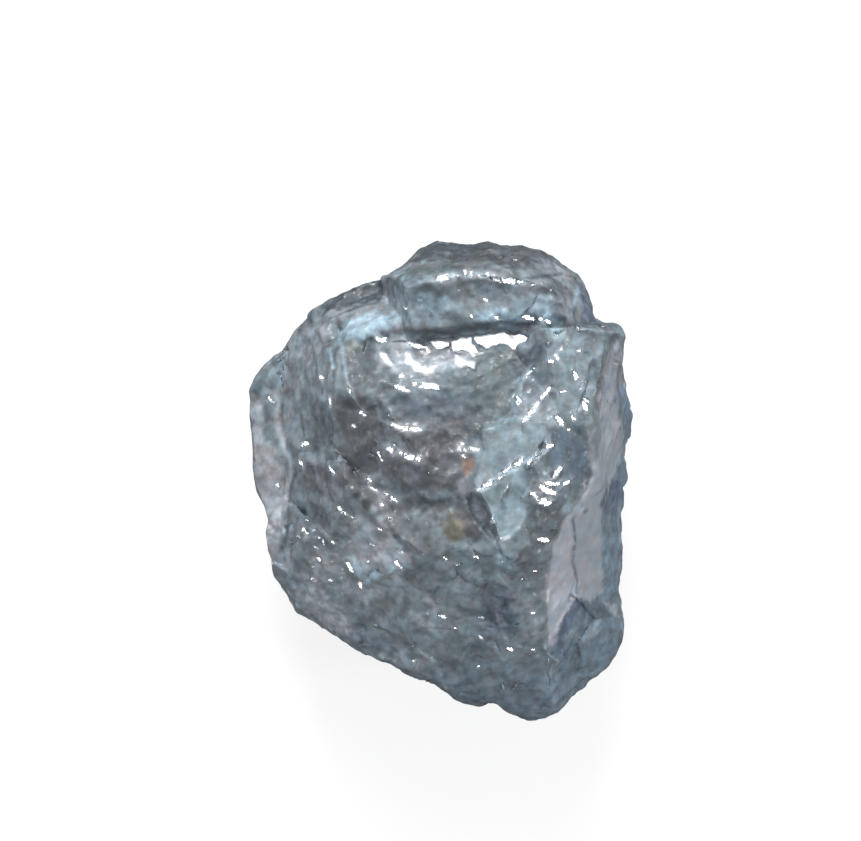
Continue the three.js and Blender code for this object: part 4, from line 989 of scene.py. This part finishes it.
# painted glow: each glint gets a pale halo in the body colour
for east_0, north_0, east_1, north_1, width in GLINTS:
    gap = from_line(places, [(east_0, north_0), (east_1 + 0.001, north_1)])
    body = wash(body, "pale lilac", GLOW_PAINT_SHARE * np.exp(-(gap / (GLOW_PAINT_WIDTH + 0.7 * width)) ** 2))
print(len(AREAS), "washes,", len(STREAKS), "streaks and", len(GLINTS), "painted glows on", len(places), "corners")

# %% Keep the colours on the mesh, and in their alpha where the skin is
SKIN_PARTS = ("skin, upper", "skin, lower", "skin, right")
skin_gaps = [signed_gap(plan, outline) for name, _, _, _, outline in AREAS if name in SKIN_PARTS]
dull = upward * smooth(0.03, -0.03, np.min(skin_gaps, axis=0))
layer = stone.data.color_attributes.new("body_colour", "FLOAT_COLOR", "POINT")
layer.data.foreach_set("color", np.column_stack([body, dull]).astype(np.float32).ravel())
print(f"{dull.mean():.0%} of the corners are on the dull skin")

# %% Keep on the mesh where it is polished like a mirror
SLOPE_GLOSS = 0.55
SIDE_LUSTRE = 0.55
facet_index = stone.vertex_groups["facets"].index
flat_share = np.array([
    max((member.weight for member in corner.groups if member.group == facet_index), default=0.0)
    for corner in stone.data.vertices
])
for outline in BRIGHT_SLOPE:
    gloss = 1 if is_shaded(outline) else SLOPE_GLOSS
    cover = smooth(0.03, -0.03, signed_gap(plan + 0.015 * waves, outline))
    flat_share = np.maximum(flat_share, gloss * upward * cover)
lustre = SIDE_LUSTRE * (1 - smooth(0.1, 0.5, normals[:, 2]))
layer = stone.data.attributes.new("mirror", "FLOAT", "POINT")
layer.data.foreach_set("value", np.maximum(flat_share, lustre).astype(np.float32))
print(int((flat_share > 0.5).sum()), "corners on facets and on the bright slope")

# %% [markdown]
# ## The finished mesh
#
# A glinting facet is a small flat mirror, and the rest of the break is gently rounded. So all faces are
# shaded smooth and those on facets flat. The stone then goes back to metres, rides on the part's only
# body, stands in for the plain solid and takes its material slot.

# %% Back to metres, and on to its body
FLAT_FROM = 0.6
select_only(stone)
bpy.ops.transform.resize(value=(MM, MM, MM), center_override=(0, 0, 0))
bpy.ops.object.transform_apply(location=True, rotation=True, scale=True)
bpy.ops.object.shade_smooth()
for face in stone.data.polygons:
    face.use_smooth = bool(min(flat_share[list(face.vertices)]) < FLAT_FROM)
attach(stone, "root")
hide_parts("rough_diamond")
print("the stone measures", [round(side / MM, 2) for side in stone.dimensions], "mm")

# %% [markdown]
# ## The diamond's finish
#
# The crystal is see-through where it is thin and clear, but clouds, cracks and stains in it scatter the
# light, so most of what the eye sees is soft blue-grey mist under a very bright polish. It could be made
# as clear glass with a cloud inside, but that renders slowly and hides what the photo shows most: the
# colour of each place. So the material mixes both: a constant share of plain transmission with
# diamond's high index of refraction, over a body colour that is read from the mesh and mottled.

# %% Node helpers
def add_node(tree, kind, **settings):
    """A new node with some of its settings made."""
    node = tree.nodes.new(kind)
    for key, value in settings.items():
        setattr(node, key, value)
    return node


def feed(tree, node, values):
    """Feeds inputs, given by name or number: a socket is linked, and a number or colour is set."""
    for key, value in values.items():
        if isinstance(value, bpy.types.NodeSocket):
            tree.links.new(value, node.inputs[key])
        else:
            node.inputs[key].default_value = value
    return node


def math_node(tree, operation, one, other, clamp=False):
    """The result of one operation on two values."""
    node = add_node(tree, "ShaderNodeMath", operation=operation, use_clamp=clamp)
    return feed(tree, node, {0: one, 1: other}).outputs[0]


def mix_colour(tree, share, one, other, blend="MIX"):
    """A colour between two others, or one blended with the other."""
    node = add_node(tree, "ShaderNodeMix", data_type="RGBA", blend_type=blend)
    return feed(tree, node, {0: share, 6: one, 7: other}).outputs[2]


def mix_value(tree, share, one, other):
    """A value between two others."""
    node = add_node(tree, "ShaderNodeMix", data_type="FLOAT")
    return feed(tree, node, {0: share, 2: one, 3: other}).outputs[0]


def map_range(tree, value, low, high, to_low, to_high, style="LINEAR"):
    """A value moved from one range into another, and held at its ends."""
    node = add_node(tree, "ShaderNodeMapRange", interpolation_type=style)
    limits = {"Value": value, "From Min": low, "From Max": high, "To Min": to_low, "To Max": to_high}
    return feed(tree, node, limits).outputs["Result"]


print("helpers for nodes are ready")

# %% A group for grain in millimetres
def grain_group():
    """Noise whose grains are Size millimetres across, from 0 to 1 about a middle of 0.5."""
    tree = bpy.data.node_groups.new("grain", "ShaderNodeTree")
    for title, kind, value in (
        ("Place", "NodeSocketVector", (0, 0, 0)),
        ("Size", "NodeSocketFloat", 0.1),
        ("Contrast", "NodeSocketFloat", 2.0),
    ):
        tree.interface.new_socket(title, in_out="INPUT", socket_type=kind).default_value = value
    tree.interface.new_socket("Value", in_out="OUTPUT", socket_type="NodeSocketFloat")
    given = tree.nodes.new("NodeGroupInput").outputs
    scale = math_node(tree, "DIVIDE", 1.0, given["Size"])
    noise = add_node(tree, "ShaderNodeTexNoise")
    feed(tree, noise, {"Vector": given["Place"], "Scale": scale, "Detail": 2.0, "Roughness": 0.6})
    centred = math_node(tree, "SUBTRACT", noise.outputs[0], 0.5)
    spread = math_node(tree, "MULTIPLY", centred, given["Contrast"])
    value = math_node(tree, "ADD", spread, 0.5, clamp=True)
    feed(tree, tree.nodes.new("NodeGroupOutput"), {"Value": value})
    return tree


grain = grain_group()
print("the grain group has", len(grain.nodes), "nodes")

# %% The material, and places on the stone in millimetres
diamond = bpy.data.materials.new("cloudy_diamond")
diamond.use_nodes = True
tree = diamond.node_tree
shader = tree.nodes["Principled BSDF"]
coordinates = add_node(tree, "ShaderNodeTexCoord")
scaled = add_node(tree, "ShaderNodeVectorMath", operation="SCALE")
place = feed(tree, scaled, {"Vector": coordinates.outputs["Object"], "Scale": 1 / MM}).outputs[0]


def use_grain(size, contrast):
    """Grain of this size in millimetres."""
    node = add_node(tree, "ShaderNodeGroup", node_tree=grain)
    return feed(tree, node, {"Place": place, "Size": size, "Contrast": contrast}).outputs["Value"]


print("the material", diamond.name, "is ready for its nodes")

# %% The body colour and its mottling
TINT_GRAIN = (0.2, 3.0)  # size in millimetres and contrast
BLUE_TINT = (0.86, 1.01, 1.09, 1)
LILAC_TINT = (1.04, 0.99, 1.0, 1)
MOTTLING = [  # size of the grain in millimetres, its contrast, darkest and lightest share of the colour
    (0.04, 3.0, 0.94, 1.06),
    (0.13, 2.6, 0.58, 1.42),
    (0.3, 3.0, 0.75, 1.25),
]
SKIN_CALM = 0.75
FLECK_GRAIN = (0.11, 3.0)
FLECK_COLOUR = (0.5, 0.57, 0.62, 1)
MOST_FLECK = 0.15
painted = add_node(tree, "ShaderNodeAttribute", attribute_name="body_colour")
skin_share = painted.outputs["Alpha"]
tint = mix_colour(tree, use_grain(*TINT_GRAIN), BLUE_TINT, LILAC_TINT)
tinted = mix_colour(tree, 1.0, painted.outputs["Color"], tint, blend="MULTIPLY")
level = 1.0
for size, contrast, darkest, lightest in MOTTLING:
    layer = map_range(tree, use_grain(size, contrast), 0, 1, darkest, lightest)
    level = math_node(tree, "MULTIPLY", level, layer)
level = mix_value(tree, math_node(tree, "MULTIPLY", skin_share, SKIN_CALM), level, 1.0)
mottled = mix_colour(tree, 1.0, tinted, level, blend="MULTIPLY")
fleck = map_range(tree, use_grain(*FLECK_GRAIN), 0.6, 1.1, 0, MOST_FLECK)
fleck = mix_value(tree, skin_share, fleck, 0.0)
feed(tree, shader, {"Base Color": mix_colour(tree, fleck, mottled, FLECK_COLOUR)})
print(len(MOTTLING), "grains mottle the body colour")

# %% Gloss and the finest relief
POLISH_GRAIN = (0.08, 3.0)
ROUGHEST, SMOOTHEST = 0.68, 0.4
FACET_ROUGHNESS = 0.14
SKIN_ROUGHNESS = 0.42
RELIEF_GRAIN = (0.06, 2.0)
RELIEF_HEIGHT = 0.004 * MM
mirror = add_node(tree, "ShaderNodeAttribute", attribute_name="mirror").outputs["Fac"]
polish = map_range(tree, use_grain(*POLISH_GRAIN), 0.6, 1, ROUGHEST, SMOOTHEST)
polish = mix_value(tree, mirror, polish, FACET_ROUGHNESS)
feed(tree, shader, {"Roughness": mix_value(tree, skin_share, polish, SKIN_ROUGHNESS)})
relief = mix_value(tree, mirror, use_grain(*RELIEF_GRAIN), 0.5)
bump = add_node(tree, "ShaderNodeBump")
feed(tree, bump, {"Height": relief, "Strength": 0.25, "Distance": RELIEF_HEIGHT})
feed(tree, shader, {"Normal": bump.outputs[0]})
print("roughness from", FACET_ROUGHNESS, "on facets to", ROUGHEST, "on dull breaks")

# %% Clarity
DIAMOND_IOR = 2.417
CLEAR_SHARE = 0.4
ABSORPTION = 480
CRYSTAL_TEAL = (0.1, 0.4, 0.5, 1)
shader.inputs["IOR"].default_value = DIAMOND_IOR
shader.inputs["Specular IOR Level"].default_value = 0.12
shader.inputs["Transmission Weight"].default_value = CLEAR_SHARE
absorption = add_node(tree, "ShaderNodeVolumeAbsorption")
absorption.inputs["Color"].default_value = CRYSTAL_TEAL
absorption.inputs["Density"].default_value = ABSORPTION
tree.links.new(absorption.outputs[0], tree.nodes["Material Output"].inputs["Volume"])
stone.data.materials.clear()
stone.data.materials.append(diamond)
print(len(tree.nodes), "nodes in", diamond.name)

# %% [markdown]
# ## Floor, light and camera
#
# A stone is best judged on plain white paper under soft, even light, with one broad light to bring out
# its relief. Paper that is only lit would look grey and cast its grey into the crystal, so the floor
# glows a little, to the camera and through the stone. Round the one large lamp, three small ones stand
# where the facets glint. The camera looks straight down from far away, so that nothing leans.

# %% Floor
FLOOR_GREY = (0.25, 0.25, 0.25, 1)
GLOW_SEEN = 0.8
GLOW_THROUGH = 0.5
bpy.ops.object.select_all(action="DESELECT")
bpy.ops.mesh.primitive_plane_add(size=1.2, location=(0, 0, 0))
floor = bpy.context.active_object
floor.name = "pale_floor"
paper = bpy.data.materials.new("pale_paper")
paper.use_nodes = True
paper_tree = paper.node_tree
ray = add_node(paper_tree, "ShaderNodeLightPath").outputs
seen_through = math_node(paper_tree, "MULTIPLY", ray["Is Transmission Ray"], GLOW_THROUGH)
seen_directly = math_node(paper_tree, "MULTIPLY", ray["Is Camera Ray"], GLOW_SEEN)
feed(paper_tree, paper_tree.nodes["Principled BSDF"], {
    "Base Color": FLOOR_GREY,
    "Roughness": 0.9,
    "Specular IOR Level": 0.1,
    "Emission Color": (1, 1, 1, 1),
    "Emission Strength": math_node(paper_tree, "MAXIMUM", seen_through, seen_directly),
})
floor.data.materials.append(paper)
print("the floor is", round(floor.dimensions.x, 2), "m across")

# %% A soft room
HORIZON = 0.65
ZENITH = 0.32
world = bpy.data.worlds.new("soft_room")
bpy.context.scene.world = world
world.use_nodes = True
room = world.node_tree
direction = add_node(room, "ShaderNodeTexCoord").outputs["Generated"]
height = feed(room, add_node(room, "ShaderNodeSeparateXYZ"), {0: direction}).outputs["Z"]
strength = map_range(room, height, 0.25, 0.95, HORIZON, ZENITH, style="SMOOTHSTEP")
feed(room, room.nodes["Background"], {"Color": (0.95, 0.97, 1, 1), "Strength": strength})
print("the room's light falls from", HORIZON, "at the sides to", ZENITH, "overhead")

# %% Lamps
LAMP_DISTANCE = 0.25
POWERS = {"key": 0.09, "left lamp": 0.09, "right lamp": 0.2}  # watts


def area_light(name, lamp, size, power):
    """A square soft lamp, aimed at the stone from a bearing and a tilt."""
    way = way_to(*lamp)
    bpy.ops.object.light_add(type="AREA", location=way * LAMP_DISTANCE)
    light = bpy.context.active_object
    light.name = name
    light.rotation_euler = way.to_track_quat("Z", "Y").to_euler()
    light.data.size = size
    light.data.energy = power


area_light("window", WINDOW, size=0.1, power=0.7)
for name, power in POWERS.items():
    area_light(name, LAMPS[name], size=0.04, power=power)

# %% Camera
LOOK_AT = (-0.113, 0.726)
VIEW_WIDTH = 10.25
MID_HEIGHT = 1.9
CAMERA_HEIGHT = 250
bpy.ops.object.camera_add(
    location=(LOOK_AT[0] * MM, LOOK_AT[1] * MM, CAMERA_HEIGHT * MM),
    rotation=(0, 0, 0),
)
camera = bpy.context.active_object
camera.data.sensor_width = 36
camera.data.lens = 36 * (CAMERA_HEIGHT - MID_HEIGHT) / VIEW_WIDTH
camera.data.clip_start = 0.01
bpy.context.scene.camera = camera
bpy.context.scene.view_settings.view_transform = "Standard"
print("lens of", round(camera.data.lens), "mm")
